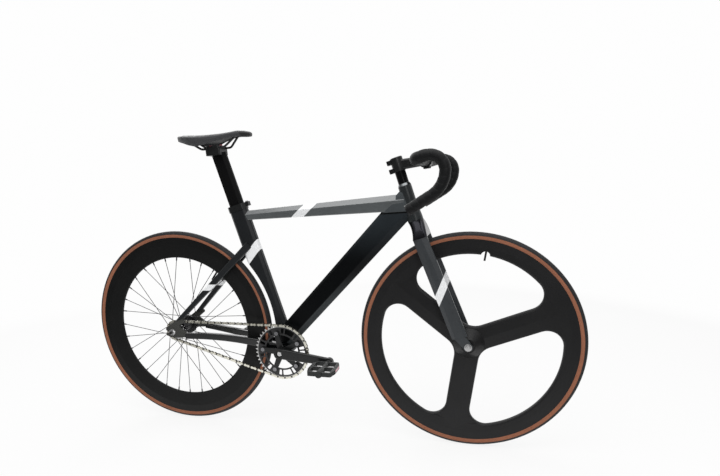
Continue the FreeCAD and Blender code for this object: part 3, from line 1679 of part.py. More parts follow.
def top_cap():
    """Cap on the stem with its bolt in the steerer."""
    base = steer_point(stem_high)
    profile = [(0, 0), (stem_clamp_radius, 0), (stem_clamp_radius, cap_height / 2),
               (stem_clamp_radius - cap_height / 2, cap_height), (0, cap_height)]
    key = hexagon(cap_bolt_radius * 2, cap_height + cut_overrun, base + steer_up * (cap_height / 2), steer_up)
    stub = rod(base - steer_up * cap_bolt_length, base, steerer_bore_radius)
    return join([lathe(profile, base, steer_up), stub]).cut(key)


def bar_path(start_aside):
    """Right half of the handlebar's centre line, from a place on its flat to its end."""
    ramp = heading(bar_ramp_angle)
    sine = math.sin(math.radians(bar_ramp_angle))
    cosine = math.cos(math.radians(bar_ramp_angle))
    edge = bar_at - ASIDE * bar_half_width
    corner_start = edge + ASIDE * bar_corner_radius
    corner_end = edge + ramp * bar_corner_radius
    corner_centre = edge + ASIDE * bar_corner_radius + ramp * bar_corner_radius
    corner_middle = corner_centre - unit(ASIDE + ramp) * bar_corner_radius
    flat_run = bar_reach - bar_front_radius * (1 + sine)
    rise = flat_run * sine / cosine - bar_front_radius * cosine
    front_centre = edge + V(bar_reach - bar_front_radius, 0, rise)
    front_start = spot(front_centre, bar_front_radius, 90 + bar_ramp_angle)
    front_middle = spot(front_centre, bar_front_radius, 45 + bar_ramp_angle / 2)
    front_end = spot(front_centre, bar_front_radius, 0)
    drop_centre = edge + V(bar_reach - bar_drop_radius, 0, rise)
    drop_middle = spot(drop_centre, bar_drop_radius, (bar_end_slope - 90) / 2)
    drop_end = spot(drop_centre, bar_drop_radius, bar_end_slope - 90)
    end = drop_end - heading(bar_end_slope) * bar_end_length
    edges = [Part.LineSegment(bar_at - ASIDE * start_aside, corner_start),
             Part.Arc(corner_start, corner_middle, corner_end)]
    if (front_start - corner_end) * ramp > 0:
        edges.append(Part.LineSegment(corner_end, front_start))
    edges += [Part.Arc(front_start, front_middle, front_end), Part.Arc(front_end, drop_middle, drop_end),
              Part.LineSegment(drop_end, end)]
    return Part.Wire([piece.toShape() for piece in edges])


def bar_pipe(start_aside, radius):
    """Round pipe along the right half of the handlebar."""
    circle = Part.Wire(Part.makeCircle(radius, bar_at - ASIDE * start_aside, ASIDE))
    return bar_path(start_aside).makePipeShell([circle], True, False)


def handlebar():
    """Drop handlebar with a thicker clamp section."""
    flat = bar_bulge_half + bar_taper_length
    profile = [(bar_bore_radius, -flat), (bar_radius, -flat), (bar_clamp_radius, -bar_bulge_half),
               (bar_clamp_radius, bar_bulge_half), (bar_radius, flat), (bar_bore_radius, flat)]
    drop = bar_pipe(flat, bar_radius).cut(bar_pipe(flat, bar_bore_radius))
    return join([lathe(profile, bar_at, ASIDE), drop, mirrored(drop)])


def bar_tape():
    """Right-hand tape sleeve."""
    return bar_pipe(tape_start, bar_radius + tape_wall).cut(bar_pipe(tape_start, bar_radius))


def bar_end_plugs():
    """Plug in each end of the handlebar."""
    end = bar_path(tape_start).Vertexes[-1].Point
    inward = heading(bar_end_slope)
    cap = rod(end - inward * plug_cap_height, end, bar_radius + tape_wall)
    stub = rod(end, end + inward * plug_stub_length, bar_bore_radius)
    plug = join([cap, stub])
    return pair(plug)


# Cranks, chainring and pedals

def half_turned(shape):
    """Left-hand partner of a right-hand crank piece: mirrored and turned half round."""
    copy = mirrored(shape)
    copy.rotate(bb_at, ASIDE, 180)
    return copy


def spindle():
    """Bottom bracket spindle with square tapered ends."""
    shapes = [rod(bb_at - ASIDE * spindle_square_in, bb_at + ASIDE * spindle_square_in, spindle_radius)]
    for side in (-1, 1):
        wires = []
        for level, half in ((spindle_square_in, spindle_root_half), (spindle_square_out, spindle_end_half)):
            points = [bb_at + V(a * half, side * level, b * half) for a, b in ((1, 1), (1, -1), (-1, -1), (-1, 1))]
            wires.append(Part.makePolygon(points + points[:1]))
        shapes.append(loft(wires))
    return join(shapes)


def pedal_axis(side):
    """Place where a pedal's axis crosses the mid-plane; right is -1."""
    return spot(bb_at, crank_length, crank_angle if side < 0 else crank_angle + 180)


def crank_arm():
    """Right arm without its spider: boss, tapered arm and pedal eye."""
    eye = pedal_axis(-1)
    upward = heading(crank_angle + 90)
    boss_in = chain_line + sprocket_thickness / 2
    boss = rod(bb_at - ASIDE * boss_in, bb_at - ASIDE * crank_boss_out, crank_boss_radius)
    ring = rod(eye - ASIDE * crank_eye_in, eye - ASIDE * crank_eye_out, crank_eye_radius)
    wires = []
    for base, inner, outer, half in ((bb_at, crank_arm_in, crank_boss_out, crank_root_half),
                                     (eye, crank_eye_in, crank_eye_out, crank_tip_half)):
        pairs = [(half, -outer), (half, -inner), (-half, -inner), (-half, -outer)]
        wires.append(outline(base, upward, ASIDE, pairs, crank_corner))
    arm = join([boss, ring, loft(wires)])
    recess = rod(bb_at - ASIDE * (crank_boss_out - crank_recess_depth),
                 bb_at - ASIDE * (crank_boss_out + cut_overrun), crank_recess_radius)
    thread = rod(eye - ASIDE * (crank_eye_in - cut_overrun), eye - ASIDE * (crank_eye_out + cut_overrun),
                 pedal_thread_radius)
    bolt = rod(bb_at, bb_at - ASIDE * crank_boss_out, crank_bolt_radius)
    return arm.cut(recess).cut(thread).cut(bolt).cut(spindle())


def ring_bolt_angles():
    """Angles of the chainring bolts, with the crank arm midway between two of them."""
    step = 360.0 / spider_arms
    return [crank_angle + step / 2 + k * step for k in range(spider_arms)]


def right_crank():
    """Right crank with its five-arm spider."""
    low = ASIDE * -(chain_line + sprocket_thickness / 2)
    thick = ASIDE * -spider_thick
    shapes = [crank_arm()]
    for turn in ring_bolt_angles():
        out = heading(turn)
        across = heading(turn + 90)
        tip = bb_at + out * bolt_circle_radius + low
        points = [bb_at + low + across * spider_root_half, tip + across * spider_tip_half,
                  tip - across * spider_tip_half, bb_at + low - across * spider_root_half]
        shapes.append(prism(Part.makePolygon(points + points[:1]), thick))
        shapes.append(rod(tip, tip + thick, spider_ear_radius))
    crank = join(shapes).cut(ring_bolt_holes())
    return crank.cut(spindle()).cut(rod(bb_at, bb_at - ASIDE * crank_boss_out, crank_bolt_radius))


def ring_bolt_holes():
    """Cuts for the chainring bolts."""
    reach = ASIDE * (2 * chain_line)
    centres = [spot(bb_at, bolt_circle_radius, turn) for turn in ring_bolt_angles()]
    return Part.makeCompound([rod(centre, centre - reach, ring_bolt_radius) for centre in centres])


def ring_sector(low, high, start, end):
    """Window in the chainring between two radii and two angles."""
    base = bb_at - ASIDE * (chain_line + sprocket_thickness)
    middle = (start + end) / 2
    edges = [Part.LineSegment(spot(base, low, start), spot(base, high, start)),
             Part.Arc(spot(base, high, start), spot(base, high, middle), spot(base, high, end)),
             Part.LineSegment(spot(base, high, end), spot(base, low, end)),
             Part.Arc(spot(base, low, end), spot(base, low, middle), spot(base, low, start))]
    window = prism(Part.Wire([edge.toShape() for edge in edges]), ASIDE * (2 * sprocket_thickness))
    uprights = [edge for edge in window.Edges if abs(edge.tangentAt(edge.FirstParameter).y) > edge_upright_share]
    return window.makeFillet(ring_window_corner, uprights)



def chainring():
    """Toothed ring with windows between its five bolt tabs."""
    disc = sprocket(bb_at, chainring_teeth, chain_tilt)
    reach = ASIDE * (2 * chain_line)
    cuts = [rod(bb_at, bb_at - reach, ring_inner_radius)]
    low = ring_inner_radius + ring_band
    high = ring_radius - ring_outer_band
    for turn in ring_bolt_angles():
        middle = turn + 180.0 / spider_arms
        for start, end in ((-ring_window_half_angle, ring_window_half_angle),
                           (ring_slot_near_angle, ring_slot_far_angle),
                           (-ring_slot_far_angle, -ring_slot_near_angle)):
            cuts.append(ring_sector(low, high, middle + start, middle + end))
    return disc.cut(Part.makeCompound(cuts)).cut(ring_bolt_holes())


def chainring_bolts():
    """Five bolts that hold the chainring on the spider."""
    inner = -(chain_line - sprocket_thickness / 2)
    outer = -(chain_line + sprocket_thickness / 2 + spider_thick)
    bolts = []
    for turn in ring_bolt_angles():
        centre = spot(bb_at, bolt_circle_radius, turn)
        near = centre + ASIDE * inner
        far = centre + ASIDE * outer
        heads = [rod(near, near + ASIDE * ring_bolt_head_height, ring_bolt_head),
                 rod(far, far - ASIDE * ring_bolt_head_height, ring_bolt_head)]
        key = hexagon(ring_bolt_radius, cut_overrun, far - ASIDE * (ring_bolt_head_height / 2), -ASIDE)
        bolts.append(join([rod(near, far, ring_bolt_radius)] + heads).cut(key))
    return bolts


def crank_bolts():
    """Bolt in each end of the spindle."""
    face = crank_boss_out - crank_recess_depth
    bolt = socket_bolt(bb_at - ASIDE * face, -ASIDE, crank_bolt_length, crank_bolt_radius, crank_bolt_head,
                       crank_bolt_head_height)
    return pair(bolt)


def crank_spindle():
    """Spindle drilled for the crank bolts."""
    shape = spindle()
    face = crank_boss_out - crank_recess_depth
    for side in (-1, 1):
        end = bb_at + ASIDE * (side * face)
        shape = shape.cut(rod(end + ASIDE * (side * cut_overrun), end - ASIDE * (side * crank_bolt_length),
                              crank_bolt_radius))
    recess_out = ASIDE * half_space
    for side in (-1, 1):
        start = bb_at + ASIDE * (side * face)
        shape = shape.cut(rod(start, start + recess_out * side, crank_recess_radius))
    return shape


def bb_bearings():
    """Bearing and cup in each end of the shell."""
    inner = bb_shell_half - bb_bearing_length
    outer = bb_shell_half + bb_cup_lip
    bore = spindle_radius + running_gap
    profile = [(bore, inner), (bb_bearing_radius, inner), (bb_bearing_radius, bb_shell_half),
               (bb_cup_radius, bb_shell_half), (bb_cup_radius, outer), (bore, outer)]
    return [lathe(profile, bb_at, ASIDE), lathe(profile, bb_at, -ASIDE)]


def pedal_spindles():
    """Spindle of each pedal, screwed into its crank eye."""
    spindles = []
    for side in (-1, 1):
        centre = pedal_axis(side)
        flange_end = crank_eye_out + pedal_flange_length
        end = pedal_out - pedal_bore_end - loose_gap
        profile = [(0, crank_eye_in), (pedal_thread_radius, crank_eye_in), (pedal_thread_radius, crank_eye_out),
                   (pedal_flange_radius, crank_eye_out), (pedal_flange_radius, flange_end),
                   (pedal_spindle_radius, flange_end), (pedal_spindle_radius, end), (0, end)]
        spindles.append(lathe(profile, centre, ASIDE * side))
    return spindles


def pedal_place(share):
    """Distance from the middle of the bicycle at a share of a pedal's width."""
    return pedal_in + (pedal_out - pedal_in) * share


def pedal_plan(side):
    """Plan outline of a pedal, tapered to both ends, at its lower face."""
    centre = pedal_axis(side) - V(0, 0, pedal_thick / 2)
    near, far = [pedal_place(share) for share in pedal_shoulder_shares]
    edge = [(pedal_end_half_length, pedal_in), (pedal_half_length, near), (pedal_half_length, far),
            (pedal_end_half_length, pedal_out)]
    pairs = edge + [(-a, b) for a, b in reversed(edge)]
    return rounded_wire([centre + V(a, side * b, 0) for a, b in pairs], pedal_corner)


def pedal_window(side, half, near, far):
    """Upright cut through one half of a pedal."""
    centre = pedal_axis(side) - V(0, 0, pedal_thick)
    points = [centre + V(a, side * b, 0) for a, b in ((half, near), (half, far), (-half, far), (-half, near))]
    return prism(rounded_wire(points, pedal_window_corner), V(0, 0, 2 * pedal_thick))


def pedal_barrel(side):
    """Barrel round the spindle, widest at its outer end, with a cap."""
    neck = pedal_place(pedal_neck_share)
    wide = pedal_place(pedal_barrel_share)
    end = pedal_out + pedal_cap_length
    profile = [(0, pedal_in), (pedal_neck_radius, pedal_in), (pedal_neck_radius, neck), (pedal_barrel_radius, wide),
               (pedal_barrel_radius, pedal_out), (pedal_cap_radius, end), (0, end)]
    return lathe(profile, pedal_axis(side), ASIDE * side)


def pedal(side):
    """Cage pedal with a round barrel, open quarters and grooved edges."""
    centre = pedal_axis(side)
    half = pedal_thick / 2
    cage = prism(pedal_plan(side), V(0, 0, pedal_thick))
    middle = (pedal_in + pedal_out) / 2
    reach = pedal_end_half_length - pedal_rim / 2
    spans = ((pedal_in + pedal_rim, middle - pedal_rib / 2), (middle + pedal_rib / 2, pedal_out - pedal_rim))
    for near, far in spans:
        cage = cage.cut(pedal_window(side, reach, near, far))
    body = join([cage, pedal_barrel(side)])
    bore = rod(centre + ASIDE * (side * (pedal_in - cut_overrun)),
               centre + ASIDE * (side * (pedal_out - pedal_bore_end)), pedal_spindle_radius + running_gap)
    body = body.cut(bore)
    for seat in reflector_blocks(side):
        body = body.cut(seat)
    pitch = (pedal_out - pedal_in - 2 * pedal_rim) / pedal_grooves
    for sign in (-1, 1):
        for k in range(pedal_grooves):
            across = centre + ASIDE * (side * (pedal_in + pedal_rim + pitch / 2 + k * pitch))
            for start in (-pedal_half_length, pedal_half_length):
                low = across + V(start - math.copysign(pedal_rim, start), 0, sign * half)
                high = across + V(start + math.copysign(cut_overrun, start), 0, sign * half)
                body = body.cut(rod(low, high, pedal_groove_depth))
    return body


def reflector_blocks(side):
    """Reflectors let into the front and back edges of a pedal."""
    centre = pedal_axis(side) + ASIDE * (side * pedal_place(sum(pedal_shoulder_shares) / 2))
    blocks = []
    for end in (-1, 1):
        face = centre + V(end * pedal_half_length, 0, 0)
        half_height = reflector_height / 2
        half_length = reflector_length / 2
        points = [face + V(0, a * half_length, b * half_height) for a, b in ((1, 1), (1, -1), (-1, -1), (-1, 1))]
        wire = rounded_wire(points, pedal_window_corner)
        blocks.append(prism(wire, V(-end * reflector_thick, 0, 0)))
    return blocks


# Every piece under its own name

def nodes():
    """Name and solids of each piece of the bicycle."""
    return {
        "head_tube": head_tube(),
        "top_tube": top_tube(),
        "down_tube": down_tube(),
        "seat_tube": seat_tube(),
        "bottom_bracket_shell": bb_shell(),
        "right_chainstay": chainstay(),
        "left_chainstay": mirrored(chainstay()),
        "seatstays": pair(seatstay()),
        "track_ends": pair(track_end()),
        "headset_bearings": headset_bearings(),
        "bottom_bracket_bearings": bb_bearings(),
        "seat_clamp": seat_clamp(),
        "seat_clamp_bolt": seat_clamp_bolt(),
        "rear_axle": axle(rear_axle_at, rear_over_locknut / 2, rear_locknut_length, rear_axle_radius,
                          rear_axle_half, rear_axle_proud),
        "rear_axle_nuts": axle_nuts(rear_axle_at, rear_axle_radius, rear_end_face),
        "chain_inner_links": chain_half(True),
        "chain_outer_links": chain_half(False),
        "seatpost": seatpost(),
        "saddle_cradle": saddle_cradle(),
        "saddle_clamp_plate": saddle_clamp_plate(),
        "saddle_clamp_bolts": saddle_clamp_bolts(),
        "saddle_rails": saddle_rails(),
        "saddle_shell": saddle_shell(),
        "saddle_cover": saddle_cover(),
        "fork_steerer": fork_steerer(),
        "right_fork_blade": fork_blade(),
        "left_fork_blade": mirrored(fork_blade()),
        "headset_spacers": [headset_cover()] + headset_spacers(),
        "stem": stem(),
        "stem_faceplate": stem_faceplate(),
        "stem_bolts": stem_bolts(),
        "stem_top_cap": top_cap(),
        "front_axle": axle(front_axle_at, front_over_locknut / 2, front_locknut_length, front_axle_radius,
                           front_axle_half, front_axle_proud),
        "front_axle_nuts": axle_nuts(front_axle_at, front_axle_radius, front_end_face),
        "handlebar": handlebar(),
        "bar_tape": pair(bar_tape()),
        "bar_end_plugs": bar_end_plugs(),
        "front_wheel": front_wheel(),
        "front_tyre": tyre(front_axle_at),
        "front_inner_tube": inner_tube(front_axle_at, front_valve_angle, front_rim_inner - front_valve_reach),
        "front_hub_bearings": hub_bearings(front_axle_at, front_hub_half, front_axle_radius),
        "rear_rim": rear_rim(),
        "rear_tyre": tyre(rear_axle_at),
        "rear_inner_tube": inner_tube(rear_axle_at, rear_valve_angle, rim_inner_radius - rear_valve_reach),
        "rear_hub": rear_hub(),
        "rear_hub_bearings": hub_bearings(rear_axle_at, rear_hub_half, rear_axle_radius),
        "rear_spokes": rear_spokes(),
        "rear_cog": rear_cog(),
        "cog_lockring": cog_lockring(),
        "right_crank": right_crank(),
        "left_crank": half_turned(crank_arm()),
        "crank_spindle": crank_spindle(),
        "chainring": chainring(),
        "chainring_bolts": chainring_bolts(),
        "crank_bolts": crank_bolts(),
        "pedal_spindles": pedal_spindles(),
        "right_pedal": pedal(-1),
        "left_pedal": pedal(1),
        "right_pedal_reflectors": reflector_blocks(-1),
        "left_pedal_reflectors": reflector_blocks(1),
    }


os.makedirs("parts", exist_ok=True)
for name, shape in nodes().items():
    solids = shape if isinstance(shape, list) else [shape]
    Part.makeCompound([solid for piece in solids for solid in piece.Solids]).exportStep("parts/" + name + ".step")
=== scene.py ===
"""Looks of a fixed gear bike: finishes, padded saddle, wrapped handlebar, floor, light and camera.

Sizes are in metres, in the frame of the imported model: +X forward, +Y to the rider's left and +Z up,
with the origin on the ground midway between the two axles.
"""

import json
import logging
import math
from dataclasses import astuple, dataclass
from enum import Enum
from typing import ClassVar

import bmesh
import bpy
from mathutils import Matrix, Vector

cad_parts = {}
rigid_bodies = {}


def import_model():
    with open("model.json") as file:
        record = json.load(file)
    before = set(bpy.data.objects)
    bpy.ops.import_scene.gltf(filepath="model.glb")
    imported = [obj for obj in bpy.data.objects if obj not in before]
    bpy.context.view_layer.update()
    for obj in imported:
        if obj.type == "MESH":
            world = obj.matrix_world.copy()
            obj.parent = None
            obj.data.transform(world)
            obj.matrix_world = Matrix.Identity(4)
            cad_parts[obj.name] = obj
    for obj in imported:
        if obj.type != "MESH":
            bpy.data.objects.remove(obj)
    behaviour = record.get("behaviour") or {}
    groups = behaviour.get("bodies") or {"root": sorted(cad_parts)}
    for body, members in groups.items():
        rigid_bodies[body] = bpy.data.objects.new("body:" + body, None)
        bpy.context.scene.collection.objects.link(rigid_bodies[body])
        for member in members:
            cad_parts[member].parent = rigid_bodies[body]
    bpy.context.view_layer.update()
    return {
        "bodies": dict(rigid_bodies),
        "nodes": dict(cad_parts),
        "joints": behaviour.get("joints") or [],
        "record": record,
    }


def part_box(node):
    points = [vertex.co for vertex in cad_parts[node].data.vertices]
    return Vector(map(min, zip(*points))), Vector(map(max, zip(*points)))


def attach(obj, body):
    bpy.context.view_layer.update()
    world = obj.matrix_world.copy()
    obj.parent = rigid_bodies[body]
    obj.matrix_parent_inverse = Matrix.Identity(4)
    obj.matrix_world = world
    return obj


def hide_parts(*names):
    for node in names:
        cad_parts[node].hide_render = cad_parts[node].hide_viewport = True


LOG = logging.getLogger("fixed_gear_bike")
QUARTER_TURN = 90.0

Colour = tuple[float, float, float]
Place = tuple[float, float, float]
Span = tuple[float, float]
Socket = bpy.types.NodeSocket
Part = bpy.types.Object

# Sockets of the colour mixing node, whose names repeat.
MIX_SHARE, MIX_FIRST, MIX_SECOND, MIX_RESULT = 0, 6, 7, 2


class Grain(Enum):
    """Fine relief of a surface, as lumps to the metre and their height in metres."""

    SPRAYED = (650.0, 0.00003)
    BLASTED = (2600.0, 0.00004)
    CAST = (1300.0, 0.00007)
    ROLLED = (3200.0, 0.00002)
    MOULDED = (1800.0, 0.00004)
    RUBBERY = (2200.0, 0.00008)


class Side(Enum):
    """Side of the bicycle, as the sign of its Y."""

    RIGHT = -1
    LEFT = 1


class Bench:
    """Lays out the nodes of one material."""

    def __init__(self, name: str) -> None:
        """Starts a material that has a principled shader.

        Args:
            name: The material's name.
        """
        self.material = bpy.data.materials.new(name)
        self.material.use_nodes = True
        self.tree = self.material.node_tree
        self.shader = self.tree.nodes["Principled BSDF"]
        self.place = self.add("ShaderNodeTexCoord").outputs["Object"]

    @classmethod
    def of_world(cls, world: bpy.types.World) -> "Bench":
        """Bench for the surroundings, whose place is the direction looked in.

        Args:
            world: The surroundings.

        Returns:
            The bench.
        """
        bench = cls.__new__(cls)
        bench.tree = world.node_tree
        bench.place = bench.add("ShaderNodeTexCoord").outputs["Generated"]
        return bench

    def add(self, kind: str, **settings: object) -> bpy.types.Node:
        """Adds a node.

        Args:
            kind: The node's type.
            settings: Properties to set on it.

        Returns:
            The new node.
        """
        node = self.tree.nodes.new(kind)
        for key, value in settings.items():
            setattr(node, key, value)
        return node

    def feed(self, socket: Socket, value: Socket | float | Colour) -> None:
        """Gives a socket a value, or joins it to another socket.

        Args:
            socket: The input to set.
            value: A number, a colour or the output to join.
        """
        if isinstance(value, bpy.types.NodeSocket):
            self.tree.links.new(value, socket)
        elif isinstance(value, tuple):
            socket.default_value = (*value, 1.0) if len(socket.default_value) == 4 else value
        else:
            socket.default_value = value

    def maths(self, operation: str, *values: Socket | float) -> Socket:
        """Works out one sum.

        Args:
            operation: Name of the operation.
            values: Its numbers or sockets.

        Returns:
            The result.
        """
        node = self.add("ShaderNodeMath", operation=operation)
        for socket, value in zip(node.inputs, values):
            self.feed(socket, value)
        return node.outputs[0]

    def rise(self, value: Socket, low: float, high: float) -> Socket:
        """Smooth step of a value from 0 at low to 1 at high.

        Args:
            value: What is measured.
            low: Where the step starts.
            high: Where it ends.

        Returns:
            The step, between 0 and 1.
        """
        node = self.add("ShaderNodeMapRange", interpolation_type="SMOOTHSTEP")
        self.feed(node.inputs["Value"], value)
        self.feed(node.inputs["From Min"], low)
        self.feed(node.inputs["From Max"], high)
        return node.outputs["Result"]

    def fall(self, value: Socket, low: float, high: float) -> Socket:
        """Smooth step of a value from 1 at low to 0 at high."""
        return self.maths("SUBTRACT", 1.0, self.rise(value, low, high))

    def between(self, share: Socket, low: float, high: float) -> Socket:
        """Value that goes from low to high as a share goes from 0 to 1."""
        return self.maths("ADD", self.maths("MULTIPLY", share, high - low), low)

    def blend(self, share: Socket, first: Socket | Colour, second: Socket | Colour) -> Socket:
        """Mixes two colours.

        Args:
            share: Share of the second colour.
            first: Colour at share 0.
            second: Colour at share 1.

        Returns:
            The mixed colour.
        """
        node = self.add("ShaderNodeMix", data_type="RGBA")
        self.feed(node.inputs[MIX_SHARE], share)
        self.feed(node.inputs[MIX_FIRST], first)
        self.feed(node.inputs[MIX_SECOND], second)
        return node.outputs[MIX_RESULT]

    def speckle(self, scale: float, detail: float = 3.0) -> Socket:
        """Soft noise fixed to the piece.

        Args:
            scale: Lumps to the metre.
            detail: Levels of finer lumps.

        Returns:
            Noise between 0 and 1.
        """
        node = self.add("ShaderNodeTexNoise")
        self.feed(node.inputs["Vector"], self.place)
        self.feed(node.inputs["Scale"], scale)
        self.feed(node.inputs["Detail"], detail)
        return node.outputs["Fac"]

    def cells(self, scale: float) -> Socket:
        """Pebbled cells fixed to the piece.

        Args:
            scale: Cells to the metre.

        Returns:
            Distance from the nearest cell's middle, in cells.
        """
        node = self.add("ShaderNodeTexVoronoi")
        self.feed(node.inputs["Vector"], self.place)
        self.feed(node.inputs["Scale"], scale)
        return node.outputs["Distance"]

    def axes(self) -> tuple[Socket, Socket, Socket]:
        """Splits the place on the piece.

        Returns:
            X, Y and Z, in metres at rest.
        """
        node = self.add("ShaderNodeSeparateXYZ")
        self.feed(node.inputs[0], self.place)
        return node.outputs[0], node.outputs[1], node.outputs[2]

    def distance(self, one: Socket, two: Socket) -> Socket:
        """How far a place is from a line, from its two distances across it."""
        squares = self.maths("ADD", self.maths("MULTIPLY", one, one), self.maths("MULTIPLY", two, two))
        return self.maths("SQRT", squares)

    def polar(self, x: float, z: float) -> tuple[Socket, Socket]:
        """Radius and angle about a line along Y.

        Args:
            x: The line's place along X.
            z: The line's height.

        Returns:
            Radius in metres and angle in radians.
        """
        along, _, up = self.axes()
        ahead = self.maths("SUBTRACT", along, x)
        above = self.maths("SUBTRACT", up, z)
        return self.distance(ahead, above), self.maths("ARCTAN2", above, ahead)

    def rays(self) -> tuple[Socket, Socket, Socket]:
        """Tells apart the rays that meet the surface.

        Returns:
            What is 1 for a ray straight from the camera or through clear material, for a mirrored ray
            and for a scattered ray.
        """
        path = self.add("ShaderNodeLightPath").outputs
        direct = self.maths("MAXIMUM", path["Is Camera Ray"], path["Is Transmission Ray"])
        return direct, path["Is Glossy Ray"], path["Is Diffuse Ray"]

    def emboss(self, height: Socket, depth: float) -> None:
        """Adds relief on top of what the shader has.

        Args:
            height: Height map between 0 and 1.
            depth: Height in metres where the map is 1.
        """
        node = self.add("ShaderNodeBump")
        self.feed(node.inputs["Distance"], depth)
        self.feed(node.inputs["Height"], height)
        for link in self.shader.inputs["Normal"].links:
            self.feed(node.inputs["Normal"], link.from_socket)
        self.feed(self.shader.inputs["Normal"], node.outputs["Normal"])


@dataclass(frozen=True)
class Finish:
    """Finish of one surface, with colour that drifts, uneven gloss and fine relief."""

    name: str
    colour: Colour
    roughness: float
    metallic: float = 0.0
    coat: float = 0.0
    sheen: float = 0.0
    specular: float = 0.5
    grain: Grain = Grain.MOULDED
    drift: float = 0.25
    patches: float = 14.0
    uneven: float = 0.08
    gloss_patches: float = 5.0
    coat_roughness: float = 0.12

    def tone(self, bench: Bench) -> Socket:
        """Base colour over the surface."""
        return self.drifted(bench, self.colour)

    def drifted(self, bench: Bench, colour: Colour) -> Socket:
        """A colour that is a little darker and lighter in patches.

        Args:
            bench: Nodes of the material.
            colour: The colour's middle.

        Returns:
            The uneven colour.
        """
        dark = tuple(channel * (1 - self.drift) for channel in colour)
        light = tuple(channel * (1 + self.drift) for channel in colour)
        return bench.blend(bench.speckle(self.patches), dark, light)

    def gloss(self, bench: Bench) -> Socket:
        """Roughness over the surface."""
        patches = bench.speckle(self.patches * self.gloss_patches)
        return bench.between(patches, self.roughness - self.uneven, self.roughness + self.uneven)

    def relief(self, bench: Bench) -> None:
        """Adds the fine relief."""
        scale, depth = self.grain.value
        bench.emboss(bench.speckle(scale), depth)

    def material(self) -> bpy.types.Material:
        """The finish as a material, made once.

        Returns:
            The material.
        """
        made = bpy.data.materials.get(self.name)
        if made:
            return made
        bench = Bench(self.name)
        sockets = bench.shader.inputs
        sockets["Metallic"].default_value = self.metallic
        sockets["Coat Weight"].default_value = self.coat
        sockets["Coat Roughness"].default_value = self.coat_roughness
        sockets["Sheen Weight"].default_value = self.sheen
        sockets["Specular IOR Level"].default_value = self.specular
        bench.feed(sockets["Base Color"], self.tone(bench))
        bench.feed(sockets["Roughness"], self.gloss(bench))
        self.relief(bench)
        return bench.material


@dataclass(frozen=True)
class Band:
    """Straight band on a tube, by a place on its middle line, its slope in degrees and its width."""

    x: float
    z: float
    slope: float
    width: float
    edge: float = 0.0006

    def offset(self, bench: Bench) -> Socket:
        """Distance above the band's middle line, in metres.

        Args:
            bench: Nodes of the material.

        Returns:
            The distance, below 0 under the line.
        """
        along, _, up = bench.axes()
        sine = math.sin(math.radians(self.slope))
        cosine = math.cos(math.radians(self.slope))
        middle = self.z * cosine - self.x * sine
        upward = bench.maths("MULTIPLY", up, cosine)
        forward = bench.maths("MULTIPLY", along, sine)
        return bench.maths("SUBTRACT", bench.maths("SUBTRACT", upward, forward), middle)

    def mask(self, bench: Bench) -> Socket:
        """1 in the band and 0 beside it."""
        half = self.width / 2
        return bench.fall(bench.maths("ABSOLUTE", self.offset(bench)), half - self.edge, half + self.edge)


@dataclass(frozen=True)
class BandedPaint(Finish):
    """Sprayed paint with one white band across it."""

    grain: Grain = Grain.SPRAYED
    band: Band = Band(0.0, 0.0, 0.0, 0.0)
    white: Colour = (0.84, 0.85, 0.86)

    def tone(self, bench: Bench) -> Socket:
        """Paint colour, white in the band."""
        return bench.blend(self.band.mask(bench), self.drifted(bench, self.colour), self.white)


@dataclass(frozen=True)
class GussetPaint(Finish):
    """Sprayed paint with a painted reflection that lightens it towards the head tube, and a grey gusset above
    a rippled weld.

    The bevel under the tube is grey near the bottom bracket, a painted reflection of the floor.
    """

    grain: Grain = Grain.SPRAYED
    bevel: Band = Band(-0.0968, 0.3048, 46.48, 0.0)
    # Painted reflection of the white floor on the lower bevel.
    bevel_painted_reflection: Colour = (0.041, 0.046, 0.048)
    bevel_reflection_fade: Span = (0.42, 0.57)
    # Painted reflection: the lighter tone towards the head tube.
    pale_painted_reflection: Colour = (0.020, 0.025, 0.029)
    pale_reflection_rise: Span = (0.57, 0.73)
    weld: Band = Band(0.2248, 0.7262, 3.4, 0.005)
    gusset: Colour = (0.055, 0.062, 0.066)
    ripples: float = 1900.0
    ripple_height: float = 0.15
    bead: float = 0.0012

    def tone(self, bench: Bench) -> Socket:
        """Dark low down and in the weld, grey on the gusset; painted reflections lighten it near the head
        tube and grey the lower bevel.

        Args:
            bench: Nodes of the material.

        Returns:
            The colour.
        """
        _, _, up = bench.axes()
        # Painted reflection that lightens the paint towards the head tube.
        fade = bench.rise(up, *self.pale_reflection_rise)
        tube = bench.blend(fade, self.drifted(bench, self.colour), self.drifted(bench, self.pale_painted_reflection))
        # Painted reflection of the floor on the bevel under the tube, near the bottom bracket.
        low = bench.fall(up, *self.bevel_reflection_fade)
        under = bench.fall(self.bevel.offset(bench), -self.bevel.edge, self.bevel.edge)
        tube = bench.blend(bench.maths("MULTIPLY", low, under), tube, self.drifted(bench, self.bevel_painted_reflection))
        above = bench.rise(self.weld.offset(bench), -self.weld.edge, self.weld.edge)
        painted = bench.blend(above, tube, self.drifted(bench, self.gusset))
        return bench.blend(self.weld.mask(bench), painted, self.drifted(bench, self.colour))

    def relief(self, bench: Bench) -> None:
        """The weld's bead, with its ripples, and the paint's grain.

        Args:
            bench: Nodes of the material.
        """
        along, _, _ = bench.axes()
        wave = bench.maths("SINE", bench.maths("MULTIPLY", along, self.ripples))
        ripple = bench.between(wave, 1.0 - self.ripple_height, 1.0)
        bench.emboss(bench.maths("MULTIPLY", self.weld.mask(bench), ripple), self.bead)
        super().relief(bench)


